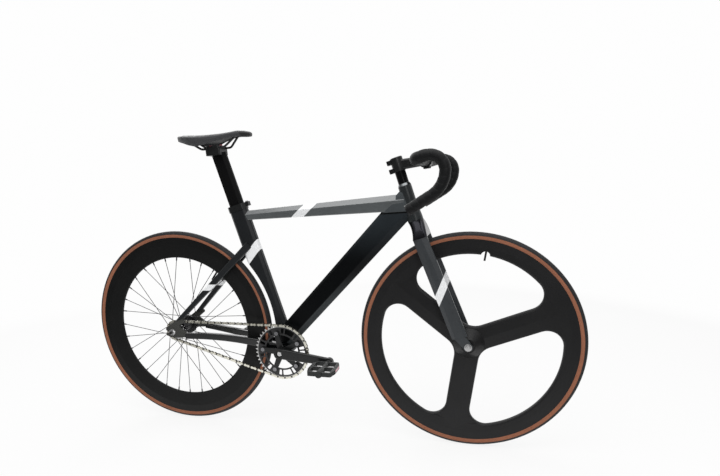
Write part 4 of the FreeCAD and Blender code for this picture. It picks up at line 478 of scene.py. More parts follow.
@dataclass(frozen=True)
class TwoToneTyre(Finish):
    """Tan sidewalls under a black tread, with a moulded rib where they meet."""

    axle_x: float = 0.0
    axle_z: float = 0.0
    tread_from: float = 0.3254
    tan: Colour = (0.285, 0.107, 0.057)
    edge: float = 0.0007
    ragged: float = 0.0006
    ragged_scale: float = 90.0
    ribs: float = 260.0
    rib_slant: float = 700.0
    rib_flank: Span = (0.2, 0.6)
    rib_height: float = 0.0004
    tread_rise: float = 0.002
    bead_flank: Span = (0.0003, 0.0009)
    bead_height: float = 0.0005

    def tone(self, bench: Bench) -> Socket:
        """Tan up to the tread's edge, then black.

        Args:
            bench: Nodes of the material.

        Returns:
            The colour.
        """
        radius, _ = bench.polar(self.axle_x, self.axle_z)
        ragged = bench.between(bench.speckle(self.ragged_scale), -self.ragged, self.ragged)
        radius = bench.maths("ADD", radius, ragged)
        tread = bench.rise(radius, self.tread_from - self.edge, self.tread_from + self.edge)
        return bench.blend(tread, self.drifted(bench, self.tan), self.drifted(bench, self.colour))

    def relief(self, bench: Bench) -> None:
        """Slanted tread ribs, a rib at the tread's edge and rubber grain.

        Args:
            bench: Nodes of the material.
        """
        radius, angle = bench.polar(self.axle_x, self.axle_z)
        _, aside, _ = bench.axes()
        slant = bench.maths("MULTIPLY", bench.maths("ABSOLUTE", aside), self.rib_slant)
        wave = bench.maths("SINE", bench.maths("ADD", bench.maths("MULTIPLY", angle, self.ribs), slant))
        tread = bench.rise(radius, self.tread_from, self.tread_from + self.tread_rise)
        ribs = bench.maths("MULTIPLY", bench.rise(wave, *self.rib_flank), tread)
        bench.emboss(ribs, self.rib_height)
        away = bench.maths("ABSOLUTE", bench.maths("SUBTRACT", radius, self.tread_from))
        bench.emboss(bench.fall(away, *self.bead_flank), self.bead_height)
        super().relief(bench)


@dataclass(frozen=True)
class PartBare(Finish):
    """Black finish that is bare metal in one place."""

    bare: Colour = (0.72, 0.72, 0.71)

    def bareness(self, bench: Bench) -> Socket:
        """1 on the bare metal and 0 elsewhere."""
        raise NotImplementedError

    def tone(self, bench: Bench) -> Socket:
        """The finish's colour, and bare metal where it is bare."""
        return bench.blend(self.bareness(bench), self.drifted(bench, self.colour), self.bare)

    def relief(self, bench: Bench) -> None:
        """The finish's grain, and metal only where it is bare."""
        bench.feed(bench.shader.inputs["Metallic"], self.bareness(bench))
        super().relief(bench)


@dataclass(frozen=True)
class ToothedRing(PartBare):
    """Black chainring whose machined teeth are bare metal."""

    axle_x: float = 0.0
    axle_z: float = 0.0
    bare_from: float = 0.0
    edge: float = 0.0003
    turning: float = 9000.0
    turning_depth: float = 0.00002

    def bareness(self, bench: Bench) -> Socket:
        """1 on the bare teeth and 0 inside them."""
        radius, _ = bench.polar(self.axle_x, self.axle_z)
        return bench.rise(radius, self.bare_from - self.edge, self.bare_from + self.edge)

    def relief(self, bench: Bench) -> None:
        """Turning marks round the ring, and what a part-bare finish has.

        Args:
            bench: Nodes of the material.
        """
        radius, _ = bench.polar(self.axle_x, self.axle_z)
        turned = bench.maths("SINE", bench.maths("MULTIPLY", radius, self.turning))
        bench.emboss(bench.rise(turned, -1.0, 1.0), self.turning_depth)
        super().relief(bench)


@dataclass(frozen=True)
class CoveredStack(PartBare):
    """Black spacers on a polished cover."""

    bare: Colour = (0.20, 0.21, 0.215)
    cover: Band = Band(0.2968, 0.8111, 17.58, 0.0076)

    def bareness(self, bench: Bench) -> Socket:
        """1 on the cover and 0 on the spacers."""
        return self.cover.mask(bench)


@dataclass(frozen=True)
class Hide(Finish):
    """Stretched synthetic hide with a pebbled grain and a sewn-on nose guard."""

    guard_x: float = -0.2175
    guard_z: float = 0.980
    guard_lean: float = 0.9
    guard: Colour = (0.012, 0.0125, 0.013)
    seam: float = 0.0007
    seam_depth: float = 0.0006
    pebbles: float = 950.0
    pebble_flank: Span = (0.1, 0.6)
    pebble_depth: float = 0.00008
    creases: float = 240.0
    crease_depth: float = 0.0001

    def ahead_of_seam(self, bench: Bench) -> Socket:
        """Distance ahead of the guard's slanted seam.

        Args:
            bench: Nodes of the material.

        Returns:
            The distance in metres, below 0 behind the seam.
        """
        along, _, up = bench.axes()
        lean = bench.maths("MULTIPLY", bench.maths("SUBTRACT", up, self.guard_z), self.guard_lean)
        return bench.maths("ADD", bench.maths("SUBTRACT", along, self.guard_x), lean)

    def tone(self, bench: Bench) -> Socket:
        """Hide colour, darker on the nose guard."""
        mask = bench.rise(self.ahead_of_seam(bench), -self.seam / 2, self.seam / 2)
        return bench.blend(mask, self.drifted(bench, self.colour), self.drifted(bench, self.guard))

    def relief(self, bench: Bench) -> None:
        """Pebbles, finer creases and the sunk seam.

        Args:
            bench: Nodes of the material.
        """
        bench.emboss(bench.rise(bench.cells(self.pebbles), *self.pebble_flank), self.pebble_depth)
        bench.emboss(bench.speckle(self.creases), self.crease_depth)
        away = bench.maths("ABSOLUTE", self.ahead_of_seam(bench))
        bench.emboss(bench.rise(away, 0.0, self.seam), self.seam_depth)


@dataclass(frozen=True)
class FoamTape(Finish):
    """Soft foam tape with fine pores."""

    pores: float = 620.0
    pore_flank: Span = (0.05, 0.3)
    pore_depth: float = 0.00022
    lumps: float = 1500.0
    lump_depth: float = 0.0001

    def relief(self, bench: Bench) -> None:
        """Pores and finer lumps."""
        bench.emboss(bench.rise(bench.cells(self.pores), *self.pore_flank), self.pore_depth)
        bench.emboss(bench.speckle(self.lumps), self.lump_depth)


BLACK_ALLOY = Finish("black_alloy_satin", (0.0085, 0.0092, 0.0095), 0.34, specular=0.4, grain=Grain.BLASTED)
GLOSS_BLACK = Finish("gloss_black_paint", (0.012, 0.014, 0.015), 0.16, coat=0.6, specular=0.4,
                     grain=Grain.SPRAYED, uneven=0.03)
COVER_STACK = CoveredStack("covered_spacers", (0.0035, 0.0037, 0.0040), 0.24, specular=0.12,
                           grain=Grain.ROLLED, drift=0.1)
MATTE_POST = Finish("matte_black_post", (0.0024, 0.0024, 0.0026), 0.5, specular=0.14, grain=Grain.BLASTED)
BLACK_STEEL = Finish("black_rail_steel", (0.010, 0.010, 0.011), 0.33, specular=0.4, grain=Grain.ROLLED)
BLACK_RESIN = Finish("black_moulded_resin", (0.016, 0.018, 0.018), 0.45, specular=0.4)
WHEEL_SHELL = Finish("wheel_shell_satin", (0.0095, 0.0095, 0.010), 0.44, specular=0.26, grain=Grain.CAST,
                     patches=7.0)
RIM_BLACK = Finish("rim_black_satin", (0.0068, 0.0070, 0.0070), 0.42, specular=0.2, grain=Grain.SPRAYED)
BRIGHT_STEEL = Finish("bright_steel", (0.66, 0.66, 0.66), 0.28, metallic=1.0, grain=Grain.ROLLED, drift=0.12)
BOLT_CHROME = Finish("bolt_chrome", (0.24, 0.24, 0.25), 0.18, metallic=1.0, grain=Grain.ROLLED, drift=0.1)
DULL_STEEL = Finish("blackened_steel", (0.060, 0.060, 0.056), 0.4, metallic=1.0, grain=Grain.ROLLED,
                    drift=0.2)
LINK_BRIGHT = Finish("plated_outer_links", (0.82, 0.80, 0.70), 0.26, metallic=1.0, grain=Grain.ROLLED,
                     drift=0.15, patches=60.0)
# The inner links are a darker copy of the outer links' plated steel: painted shade between the plates.
LINK_PAINTED_SHADE = Finish("inner_links_painted_shade", (0.13, 0.125, 0.11), 0.4, metallic=1.0, grain=Grain.ROLLED,
                   drift=0.25, patches=60.0)
SPOKE_STEEL = Finish("spoke_black", (0.014, 0.014, 0.015), 0.36, specular=0.4, grain=Grain.ROLLED, drift=0.15)
BLACK_HUB = Finish("black_hub_shell", (0.012, 0.012, 0.013), 0.3, specular=0.4, grain=Grain.ROLLED)
RED_BOLT = Finish("red_bolt_head", (0.36, 0.012, 0.045), 0.3, coat=0.3, grain=Grain.ROLLED)
REFLECTOR = Finish("reflector_red", (0.50, 0.11, 0.16), 0.22, coat=0.6, grain=Grain.CAST, drift=0.3,
                   patches=160.0)
BUTYL = Finish("butyl_rubber", (0.016, 0.016, 0.016), 0.6, specular=0.3, grain=Grain.RUBBERY)
SADDLE_HIDE = Hide("saddle_hide", (0.036, 0.037, 0.040), 0.5, specular=0.35, sheen=0.2, drift=0.15)
BAR_FOAM = FoamTape("bar_foam_tape", (0.0050, 0.0053, 0.0057), 0.52, specular=0.2, sheen=0.04, drift=0.2)
TAPE_STRIP = Finish("finishing_strip", (0.008, 0.008, 0.009), 0.35, specular=0.3)
PLATE_GREY = Finish("track_end_grey", (0.046, 0.047, 0.043), 0.55, specular=0.2, grain=Grain.BLASTED)
DEEP_TONE: Colour = (0.0026, 0.0032, 0.0036)
FRAME_TONE: Colour = (0.013, 0.0145, 0.016)
TYRE_TONE: Colour = (0.017, 0.017, 0.018)
CHAINRING_TONE: Colour = (0.016, 0.016, 0.017)
DEEP_PAINT = Finish("deep_paint", DEEP_TONE, 0.33, specular=0.1, grain=Grain.SPRAYED)
STAY_GLOSS = Finish("chainstay_gloss", DEEP_TONE, 0.24, coat=0.5, specular=0.4, grain=Grain.SPRAYED,
                    uneven=0.03)
# Painted reflection: the head tube's base tone is lighter than the frame's deep black paint.
HEAD_PAINT = Finish("head_paint", (0.0172, 0.0205, 0.0218), 0.33, specular=0.4, grain=Grain.SPRAYED)
# Its paint carries painted reflections: lighter near the head tube and grey on the lower bevel.
DOWN_TUBE_PAINT = GussetPaint("down_tube_paint", DEEP_TONE, 0.33, specular=0.1)
# Painted reflection: the top tube's grey base tone is lighter than the frame's black paint.
TOP_TUBE_PAINT = BandedPaint("top_tube_paint", (0.072, 0.081, 0.084), 0.33, specular=1.0, coat=1.0,
                             band=Band(-0.0169, 0.7396, 43.0, 0.027))
SEAT_TUBE_PAINT = BandedPaint("seat_tube_paint", FRAME_TONE, 0.33, specular=0.2,
                              band=Band(-0.1940, 0.6133, 50.2, 0.029))
STAY_PAINT = BandedPaint("stay_paint", FRAME_TONE, 0.33, specular=0.4, band=Band(-0.3560, 0.4900, 0.0, 0.020))
# Painted reflection: the fork blades' base tone is lighter than the frame's black paint.
BLADE_PAINT = BandedPaint("fork_blade_paint", (0.036, 0.040, 0.044), 0.34, specular=0.4,
                          band=Band(0.4126, 0.5050, 68.0, 0.0224))


class Mesher:
    """Makes mesh objects from rings of points."""

    @staticmethod
    def object_from(name: str, bm: bmesh.types.BMesh, smooth: bool = True) -> Part:
        """Turns a finished bmesh into an object in the scene.

        Args:
            name: The object's name.
            bm: The mesh, which is freed.
            smooth: Whether its faces are smooth.

        Returns:
            The object.
        """
        mesh = bpy.data.meshes.new(name)
        bmesh.ops.recalc_face_normals(bm, faces=bm.faces)
        bm.to_mesh(mesh)
        bm.free()
        for face in mesh.polygons:
            face.use_smooth = smooth
        made = bpy.data.objects.new(name, mesh)
        bpy.context.scene.collection.objects.link(made)
        return made

    @staticmethod
    def directions(one: Vector, two: Vector, count: int) -> list[Vector]:
        """Directions all round, from one towards two."""
        angles = (2 * math.pi * k / count for k in range(count))
        return [one * math.cos(angle) + two * math.sin(angle) for angle in angles]

    @staticmethod
    def tube(bm: bmesh.types.BMesh, rings: list[list[Vector]]) -> None:
        """Skins rings of points in order and caps both ends.

        Args:
            bm: Mesh to add to.
            rings: Rings with as many points each.
        """
        loops = [[bm.verts.new(point) for point in ring] for ring in rings]
        sides = len(loops[0])
        for ahead, behind in zip(loops, loops[1:]):
            for k in range(sides):
                n = (k + 1) % sides
                bm.faces.new((ahead[k], ahead[n], behind[n], behind[k]))
        bm.faces.new(loops[0])
        bm.faces.new(loops[-1])


@dataclass
class Route:
    """Line that is walked in straight runs and arcs, keeping its points and directions."""

    place: Vector
    ahead: Vector
    step: float
    points: list[Vector]
    headings: list[Vector]

    @classmethod
    def start(cls, place: Vector, ahead: Vector, step: float) -> "Route":
        """Starts a route at a place, in a direction, with a step between its points."""
        return cls(place.copy(), ahead.normalized(), step, [place.copy()], [ahead.normalized()])

    def straight(self, length: float) -> None:
        """Walks on without turning.

        Args:
            length: How far.
        """
        count = max(1, round(length / self.step))
        for _ in range(count):
            self.place = self.place + self.ahead * (length / count)
            self.points.append(self.place.copy())
            self.headings.append(self.ahead.copy())

    def turn(self, radius: float, degrees: float, axis: Vector) -> None:
        """Walks along an arc.

        Args:
            radius: The arc's radius.
            degrees: How far it turns.
            axis: What it turns about.
        """
        count = max(2, round(math.radians(degrees) * radius / self.step))
        share = Matrix.Rotation(math.radians(degrees) / count, 3, axis)
        arm = axis.cross(self.ahead).normalized() * radius
        centre = self.place + arm
        for _ in range(count):
            self.place = centre + share @ (self.place - centre)
            self.ahead = share @ self.ahead
            self.points.append(self.place.copy())
            self.headings.append(self.ahead.copy())


@dataclass
class SubAssembly:
    """Pieces that are built and dressed together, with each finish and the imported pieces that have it."""

    coats: ClassVar[tuple[tuple, ...]] = ()
    parts: dict[str, Part]
    joints: dict[str, dict]

    def build(self) -> None:
        """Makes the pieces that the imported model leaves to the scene."""

    def dress(self) -> None:
        """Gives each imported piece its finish."""
        for finish, *names in self.coats:
            self.coat(finish, *names)

    def coat(self, finish: Finish, *names: str) -> None:
        """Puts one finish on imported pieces.

        Args:
            finish: The finish.
            names: Names of the pieces.
        """
        for name in names:
            materials = self.parts[name].data.materials
            materials.clear()
            materials.append(finish.material())
            LOG.info("%s: %s", name, finish.name)

    def add(self, piece: Part, finish: Finish, body: str, slot: str) -> Part:
        """Finishes a new piece and ties it to its body.

        Args:
            piece: The new piece.
            finish: Its finish.
            body: Body that it moves with.
            slot: Not used.

        Returns:
            The piece.
        """
        piece.data.materials.clear()
        piece.data.materials.append(finish.material())
        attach(piece, body)
        LOG.info("%s rides on %s", piece.name, body)
        return piece


@dataclass
class Frame(SubAssembly):
    """Welded frame with its bearings, seat clamp and track ends."""

    coats: ClassVar = (
        (DEEP_PAINT, "bottom_bracket_shell"),
        (STAY_GLOSS, "right_chainstay", "left_chainstay"),
        (DOWN_TUBE_PAINT, "down_tube"),
        (HEAD_PAINT, "head_tube"),
        (PLATE_GREY, "track_ends"),
        (TOP_TUBE_PAINT, "top_tube"),
        (SEAT_TUBE_PAINT, "seat_tube"),
        (STAY_PAINT, "seatstays"),
        (BLACK_ALLOY, "headset_bearings", "bottom_bracket_bearings", "seat_clamp"),
        (BRIGHT_STEEL, "seat_clamp_bolt", "rear_axle_nuts"),
        (DULL_STEEL, "rear_axle"),
    )


@dataclass
class Fork(SubAssembly):
    """Fork, its crown, the stack of spacers and the front axle."""

    coats: ClassVar = (
        (BLADE_PAINT, "right_fork_blade", "left_fork_blade"),
        (GLOSS_BLACK, "fork_steerer"),
        (COVER_STACK, "headset_spacers"),
        (BRIGHT_STEEL, "front_axle", "front_axle_nuts"),
    )


@dataclass
class Cockpit(SubAssembly):
    """Stem and drop handlebar, with tape wound in overlapping turns."""

    coats: ClassVar = (
        (BLACK_ALLOY, "stem", "stem_faceplate", "stem_top_cap"),
        (MATTE_POST, "handlebar"),
        (TAPE_STRIP, "bar_end_plugs"),
        (BLACK_STEEL, "stem_bolts"),
    )
    tape_start: float = 0.074
    half_width: float = 0.186
    corner_radius: float = 0.020
    reach: float = 0.071
    ramp: float = 20.0
    front_radius: float = 0.0385
    drop_radius: float = 0.075
    end_slope: float = 32.0
    end_length: float = 0.070
    bar_radius: float = 0.012
    tape_radius: float = 0.0146
    tape_pitch: float = 0.019
    lap_height: float = 0.0007
    lap_share: float = 0.10
    lap_fall: float = 0.75
    tuck_turn: float = 0.25
    tuck_height: float = 0.35
    pillow: float = 0.0003
    corner_fullness: float = 0.0075
    corner_spread: float = 2.0
    ring_step: float = 0.0012
    ring_sides: int = 56
    strip_width: float = 0.012
    strip_height: float = 0.0004
    strip_profile: tuple[tuple[float, float], ...] = (
        (-0.5, 0.0), (-0.46, 0.0004), (-0.2, 0.0004), (0.1, 0.0018), (0.42, 0.0021), (0.5, 0.0012))

    def bar_centre(self) -> Vector:
        """Middle of the handlebar's clamped part, which is where it tilts."""
        return Vector(self.joints["handlebar_tilt"]["pos_m"])

    def route(self, side: Side) -> Route:
        """Centre line of one half of the handlebar, from the tape's start to the end.

        Args:
            side: Which half.

        Returns:
            The line.
        """
        aside = Vector((0.0, side.value, 0.0))
        slope = math.radians(self.ramp)
        climb = Vector((math.cos(slope), 0.0, math.sin(slope)))
        route = Route.start(self.bar_centre() + aside * self.tape_start, aside, self.ring_step)
        route.straight(self.half_width - self.corner_radius - self.tape_start)
        route.turn(self.corner_radius, QUARTER_TURN, aside.cross(climb))
        run = (self.reach - self.front_radius * (1 + math.sin(slope))) / math.cos(slope)
        route.straight(run - self.corner_radius)
        route.turn(self.front_radius, QUARTER_TURN + self.ramp, Vector((0.0, 1.0, 0.0)))
        route.turn(self.drop_radius, QUARTER_TURN - self.end_slope, Vector((0.0, 1.0, 0.0)))
        route.straight(self.end_length)
        return route

    def tape_height(self, travel: float, turn: float, outward: Vector) -> float:
        """Radius of the wound tape at a place on it.

        Args:
            travel: Distance along the handlebar.
            turn: Share of a turn round it.
            outward: Direction from the handlebar's centre line.

        Returns:
            Distance from the handlebar's centre line.
        """
        lap = (travel / self.tape_pitch + turn) % 1.0
        rise = min(1.0, (1.0 - lap) / self.lap_share)
        edge = (1.0 - lap * self.lap_fall) * rise * rise * (3 - 2 * rise)
        to_corner = (self.half_width - self.tape_start - self.corner_radius / 2) - travel
        near = math.exp(-((to_corner / (self.corner_spread * self.corner_radius)) ** 2))
        full = self.corner_fullness * near * max(0.0, -outward.x)
        height = self.tape_radius + self.lap_height * edge + self.pillow * math.sin(math.pi * lap) + full
        tuck = math.sqrt(min(1.0, travel / (self.tape_pitch * self.tuck_turn)))
        share = self.tuck_height + (1 - self.tuck_height) * tuck
        return self.bar_radius + (height - self.bar_radius) * share

    def wound(self, side: Side) -> Part:
        """Tape wound on one half of the handlebar.

        Args:
            side: Which half.

        Returns:
            The tape.
        """
        route = self.route(side)
        over = Vector((0.0, 0.0, 1.0))
        rings = []
        travel = 0.0
        for index, (point, ahead) in enumerate(zip(route.points, route.headings)):
            if index:
                travel += (point - route.points[index - 1]).length
            over = (over - ahead * over.dot(ahead)).normalized()
            ring = []
            for k, outward in enumerate(Mesher.directions(over, ahead.cross(over), self.ring_sides)):
                turn = side.value * k / self.ring_sides
                ring.append(point + outward * self.tape_height(travel, turn, outward))
            rings.append(ring)
        bm = bmesh.new()
        Mesher.tube(bm, rings)
        return Mesher.object_from(f"{side.name.lower()}_bar_tape_wrap", bm)

    def strip(self, side: Side) -> Part:
        """Smooth strip that closes the tape beside the stem.

        Args:
            side: Which half.

        Returns:
            The strip.
        """
        aside = Vector((0.0, side.value, 0.0))
        middle = self.bar_centre() + aside * self.tape_start
        round_bar = Mesher.directions(Vector((1.0, 0.0, 0.0)), Vector((0.0, 0.0, 1.0)), self.ring_sides)
        rings = []
        for share, height in self.strip_profile:
            radius = self.bar_radius + self.strip_height + height
            centre = middle + aside * (self.strip_width * share)
            rings.append([centre + outward * radius for outward in round_bar])
        bm = bmesh.new()
        Mesher.tube(bm, rings)
        return Mesher.object_from(f"{side.name.lower()}_finishing_strip", bm)

    def build(self) -> None:
        """Wound tape and its closing strips."""
        for side in Side:
            tape = self.add(self.wound(side), BAR_FOAM, "drop_bar", "bar_tape")
            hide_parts("bar_tape")
            self.add(self.strip(side), TAPE_STRIP, "drop_bar", "black_plastic")


@dataclass(frozen=True)
class Station:
    """One cross-section of the saddle's padding, measured from the centre of its tail."""

    share: float
    half_width: float
    crown: float
    shoulder: float
    depth: float

    def toward(self, other: "Station", share: float) -> "Station":
        """Section between this one and another, in proportion to its place.

        Args:
            other: The next section.
            share: Place along the saddle, as a share of its length.

        Returns:
            The section.
        """
        way = (share - self.share) / (other.share - self.share)
        sizes = zip(astuple(self)[1:], astuple(other)[1:])
        return Station(share, *(one + (two - one) * way for one, two in sizes))


@dataclass
class SeatGroup(SubAssembly):
    """Seatpost, clamp, rails and padded saddle."""

    coats: ClassVar = (
        (MATTE_POST, "seatpost"),
        (BLACK_ALLOY, "saddle_cradle", "saddle_clamp_plate"),
        (RED_BOLT, "saddle_clamp_bolts"),
        (BLACK_STEEL, "saddle_rails"),
        (BLACK_RESIN, "saddle_shell"),
    )
    stations: tuple[Station, ...] = (
        Station(0.00, 0.034, -0.0016, 0.005, 0.0150),
        Station(0.05, 0.047, -0.0006, 0.007, 0.0220),
        Station(0.12, 0.058, -0.0008, 0.009, 0.0255),
        Station(0.22, 0.066, -0.0015, 0.011, 0.0325),
        Station(0.33, 0.067, -0.0024, 0.012, 0.0370),
        Station(0.46, 0.052, -0.0010, 0.011, 0.0292),
        Station(0.58, 0.036, 0.0007, 0.009, 0.0222),
        Station(0.70, 0.026, 0.0040, 0.007, 0.0182),
        Station(0.82, 0.021, 0.0080, 0.006, 0.0182),
        Station(0.92, 0.019, 0.0067, 0.006, 0.0182),
        Station(1.00, 0.015, 0.0027, 0.005, 0.0132),
    )
    tail_gap: float = 0.0055
    nose_gap: float = 0.001
    crown_above_tail: float = 0.0093
    tuck: float = 0.90
    padding: float = 0.0075
    padding_share: float = 0.62
    hem: float = 0.0022
    hem_share: float = 1 / 6
    top_steps: int = 14
    side_steps: int = 8
    hem_steps: int = 5
    under_steps: int = 9
    end_round: float = 0.006
    end_blunt: float = 0.62
    solid_end: float = 0.024
    dome_height: float = 0.0022
    dome_sizes: tuple[float, ...] = (0.94, 0.8, 0.55, 0.25)
    rings: int = 96
    blend: int = 4
    swell: float = 0.0008
    pressure: float = 3.0
    frames: int = 16
    still_below: float = -0.2

    def station(self, share: float) -> Station:
        """Section of the padding at any place along it.

        Args:
            share: Place along the saddle, as a share of its length.

        Returns:
            The section.
        """
        for one, two in zip(self.stations, self.stations[1:]):
            if share <= two.share:
                return one.toward(two, share)
        return self.stations[-1]

    def sections(self) -> list[Station]:
        """Sections along the padding, with the bends between them smoothed.

        Returns:
            The sections, from the tail to the nose.
        """
        made = [self.station(k / (self.rings - 1)) for k in range(self.rings)]
        for _ in range(self.blend):
            rows = [astuple(one) for one in made]
            inner = [Station(*((a + 2 * b + c) / 4 for a, b, c in zip(*three)))
                     for three in zip(rows, rows[1:], rows[2:])]
            made = [made[0], *inner, made[-1]]
        return made

    def half_outline(self, station: Station, hollow: float) -> list[tuple[float, float]]:
        """One half of a section, from the top's middle round the hem to the underside's middle.

        Args:
            station: The section's sizes.
            hollow: How far the underside is hollowed, from 0 at the ends to 1.

        Returns:
            Places across and up, measured from the tail's centre.
        """
        width, crown, drop, depth = station.half_width, station.crown, station.shoulder, station.depth
        hem = min(self.hem, depth * self.hem_share)
        foot = crown - depth + hem
        inner = width * self.tuck - hem
        under = foot + (depth - hem - min(self.padding, depth * self.padding_share)) * hollow
        spring = max(under - drop, foot)
        points = [(0.0, crown)]
        for way in self.steps(self.top_steps):
            angle = math.pi / 2 * way
            points.append((width * math.sin(angle), crown - drop * (1 - math.cos(angle))))
        for way in self.steps(self.side_steps):
            across = width * (1 - (1 - self.tuck) * way * way)
            points.append((across, crown - drop - (crown - drop - foot) * way))
        for way in self.steps(self.hem_steps):
            angle = math.pi * way
            points.append((inner + hem * math.cos(angle), foot - hem * math.sin(angle)))
        for way in self.steps(self.under_steps):
            angle = math.pi / 2 * way
            points.append(((inner - hem) * math.cos(angle), spring + (under - spring) * math.sin(angle)))
        return points

    @staticmethod
    def steps(count: int) -> list[float]:
        """Even shares of the way, from the first step to 1."""
        return [k / count for k in range(1, count + 1)]

    def loft(self) -> Part:
        """Smooth padding laid through its sections, blunt at both ends.

        Returns:
            The padding before it is filled.
        """
        low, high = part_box("saddle_cover")
        start = low.x + self.tail_gap
        length = high.x - self.nose_gap - start
        base = high.z - self.crown_above_tail
        rings = []
        for station in self.sections():
            from_end = min(station.share, 1 - station.share) * length
            rounding = 1 - min(1.0, from_end / self.end_round)
            size = self.end_blunt + (1 - self.end_blunt) * math.sqrt(1 - rounding * rounding)
            hollow = min(1.0, from_end / self.solid_end)
            middle = station.crown - station.depth / 2
            half = [(y * size, middle + (z - middle) * size) for y, z in self.half_outline(station, hollow)]
            whole = half + [(-y, z) for y, z in reversed(half[1:-1])]
            rings.append([Vector((start + length * station.share, y, base + z)) for y, z in whole])
        rings = self.dome(rings[0], -1)[::-1] + rings + self.dome(rings[-1], 1)
        bm = bmesh.new()
        Mesher.tube(bm, rings)
        return Mesher.object_from("saddle_pad", bm)

    def dome(self, ring: list[Vector], outward: int) -> list[list[Vector]]:
        """Rings that close an end of the padding in a low dome.

        Args:
            ring: The end's ring.
            outward: 1 at the nose and -1 at the tail.

        Returns:
            Smaller rings, from the end outward.
        """
        middle = sum(ring, Vector()) / len(ring)
        made = []
        for size in self.dome_sizes:
            ahead = Vector((outward * self.dome_height * math.sqrt(1 - size * size), 0.0, 0.0))
            made.append([middle + (point - middle) * size + ahead for point in ring])
        return made

    def pad(self) -> Part:
        """Padded cover, filled out and smoothed.

        Returns:
            The pad.
        """
        pad = self.loft()
        self.fill(pad)
        finer = pad.modifiers.new("finer", "SUBSURF")
        finer.levels = 1
        finer.render_levels = 1
        self.settle(pad)
        return pad

    @staticmethod
    def settle(piece: Part) -> None:
        """Makes a piece's modifiers part of its mesh.

        Args:
            piece: The piece.
        """
        shaped = bpy.data.meshes.new_from_object(piece.evaluated_get(bpy.context.evaluated_depsgraph_get()))
        piece.modifiers.clear()
        piece.data = shaped
        for face in shaped.polygons:
            face.use_smooth = True

    def fill(self, pad: Part) -> None:
        """Lets the cover swell a little under the padding's pressure, except on the underside.

        Args:
            pad: The pad.
        """
        scene = bpy.context.scene
        rest = [vertex.co.copy() for vertex in pad.data.vertices]
        outward = [vertex.normal.copy() for vertex in pad.data.vertices]
        cloth = pad.modifiers.new("cover", "CLOTH")
        cloth.settings.use_pressure = True
        cloth.settings.uniform_pressure_force = self.pressure
        cloth.settings.effector_weights.gravity = 0.0
        cloth.point_cache.frame_start = 1
        cloth.point_cache.frame_end = self.frames
        for frame in range(1, self.frames + 1):
            scene.frame_set(frame)
        self.settle(pad)
        scene.frame_set(1)
        for vertex, start, normal in zip(pad.data.vertices, rest, outward):
            moved = vertex.co - start
            if moved.length > self.swell:
                moved = moved.normalized() * self.swell
            vertex.co = start + moved if normal.z > self.still_below else start

    def build(self) -> None:
        """Padded saddle cover."""
        pad = self.add(self.pad(), SADDLE_HIDE, "saddle", "saddle_leather")
        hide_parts("saddle_cover")


@dataclass
class Wheels(SubAssembly):
    """Three-spoke front wheel and deep-rimmed rear wheel, both with tan-walled tyres."""

    coats: ClassVar = (
        (WHEEL_SHELL, "front_wheel"),
        (RIM_BLACK, "rear_rim"),
        (BUTYL, "front_inner_tube", "rear_inner_tube"),
        (BLACK_HUB, "rear_hub"),
        (BRIGHT_STEEL, "front_hub_bearings", "rear_hub_bearings", "rear_cog", "cog_lockring"),
        (SPOKE_STEEL, "rear_spokes"),
    )
    tyre_roughness: float = 0.62
    tyre_shine: float = 0.3
    tyre_drift: float = 0.2

    def tyre_finish(self, name: str) -> Finish:
        """Two-tone finish about a tyre's own axle.

        Args:
            name: Name of the tyre's node.

        Returns:
            The finish.
        """
        low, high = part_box(name)
        middle = (low + high) / 2
        return TwoToneTyre(f"{name}_rubber", TYRE_TONE, self.tyre_roughness, specular=self.tyre_shine,
                           grain=Grain.RUBBERY, drift=self.tyre_drift, axle_x=middle.x, axle_z=middle.z)

    def dress(self) -> None:
        """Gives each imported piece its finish, and each tyre two tones about its axle."""
        super().dress()
        for tyre in ("front_tyre", "rear_tyre"):
            self.coat(self.tyre_finish(tyre), tyre)


@dataclass
class Drivetrain(SubAssembly):
    """Cranks, chainring, chain and pedals."""

    coats: ClassVar = (
        (BLACK_ALLOY, "right_crank", "left_crank"),
        (BOLT_CHROME, "chainring_bolts"),
        (BRIGHT_STEEL, "crank_bolts", "crank_spindle", "pedal_spindles"),
        (LINK_BRIGHT, "chain_outer_links"),
        # The inner links carry painted shade, the shadow between the outer plates.
        (LINK_PAINTED_SHADE, "chain_inner_links"),
        (BLACK_RESIN, "right_pedal", "left_pedal"),
        (REFLECTOR, "right_pedal_reflectors", "left_pedal_reflectors"),
    )
    tooth_depth: float = 0.008
    ring_roughness: float = 0.36

    def ring_finish(self) -> Finish:
        """Chainring finish about the crank's axle.

        Returns:
            The finish.
        """
        low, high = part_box("chainring")
        middle = (low + high) / 2
        bare_from = (high.x - low.x) / 2 - self.tooth_depth
        return ToothedRing("chainring_black", CHAINRING_TONE, self.ring_roughness, grain=Grain.BLASTED,
                           axle_x=middle.x, axle_z=middle.z, bare_from=bare_from)

    def dress(self) -> None:
        """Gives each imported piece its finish, and the chainring one with bare teeth."""
        super().dress()
        self.coat(self.ring_finish(), "chainring")


@dataclass
class Lamp:
    """Soft box light."""

    name: str
    place: Place
    aim: Place
    size: Span
    watts: float

    def hang(self) -> None:
        """Puts the light in the scene."""
        data = bpy.data.lights.new(self.name, "AREA")
        data.shape = "RECTANGLE"
        data.size, data.size_y = self.size
        data.energy = self.watts
        lamp = bpy.data.objects.new(self.name, data)
        lamp.location = self.place
        lamp.rotation_mode = "QUATERNION"
        lamp.rotation_quaternion = (Vector(self.aim) - Vector(self.place)).to_track_quat("-Z", "Y")
        lamp.visible_camera = False
        bpy.context.scene.collection.objects.link(lamp)


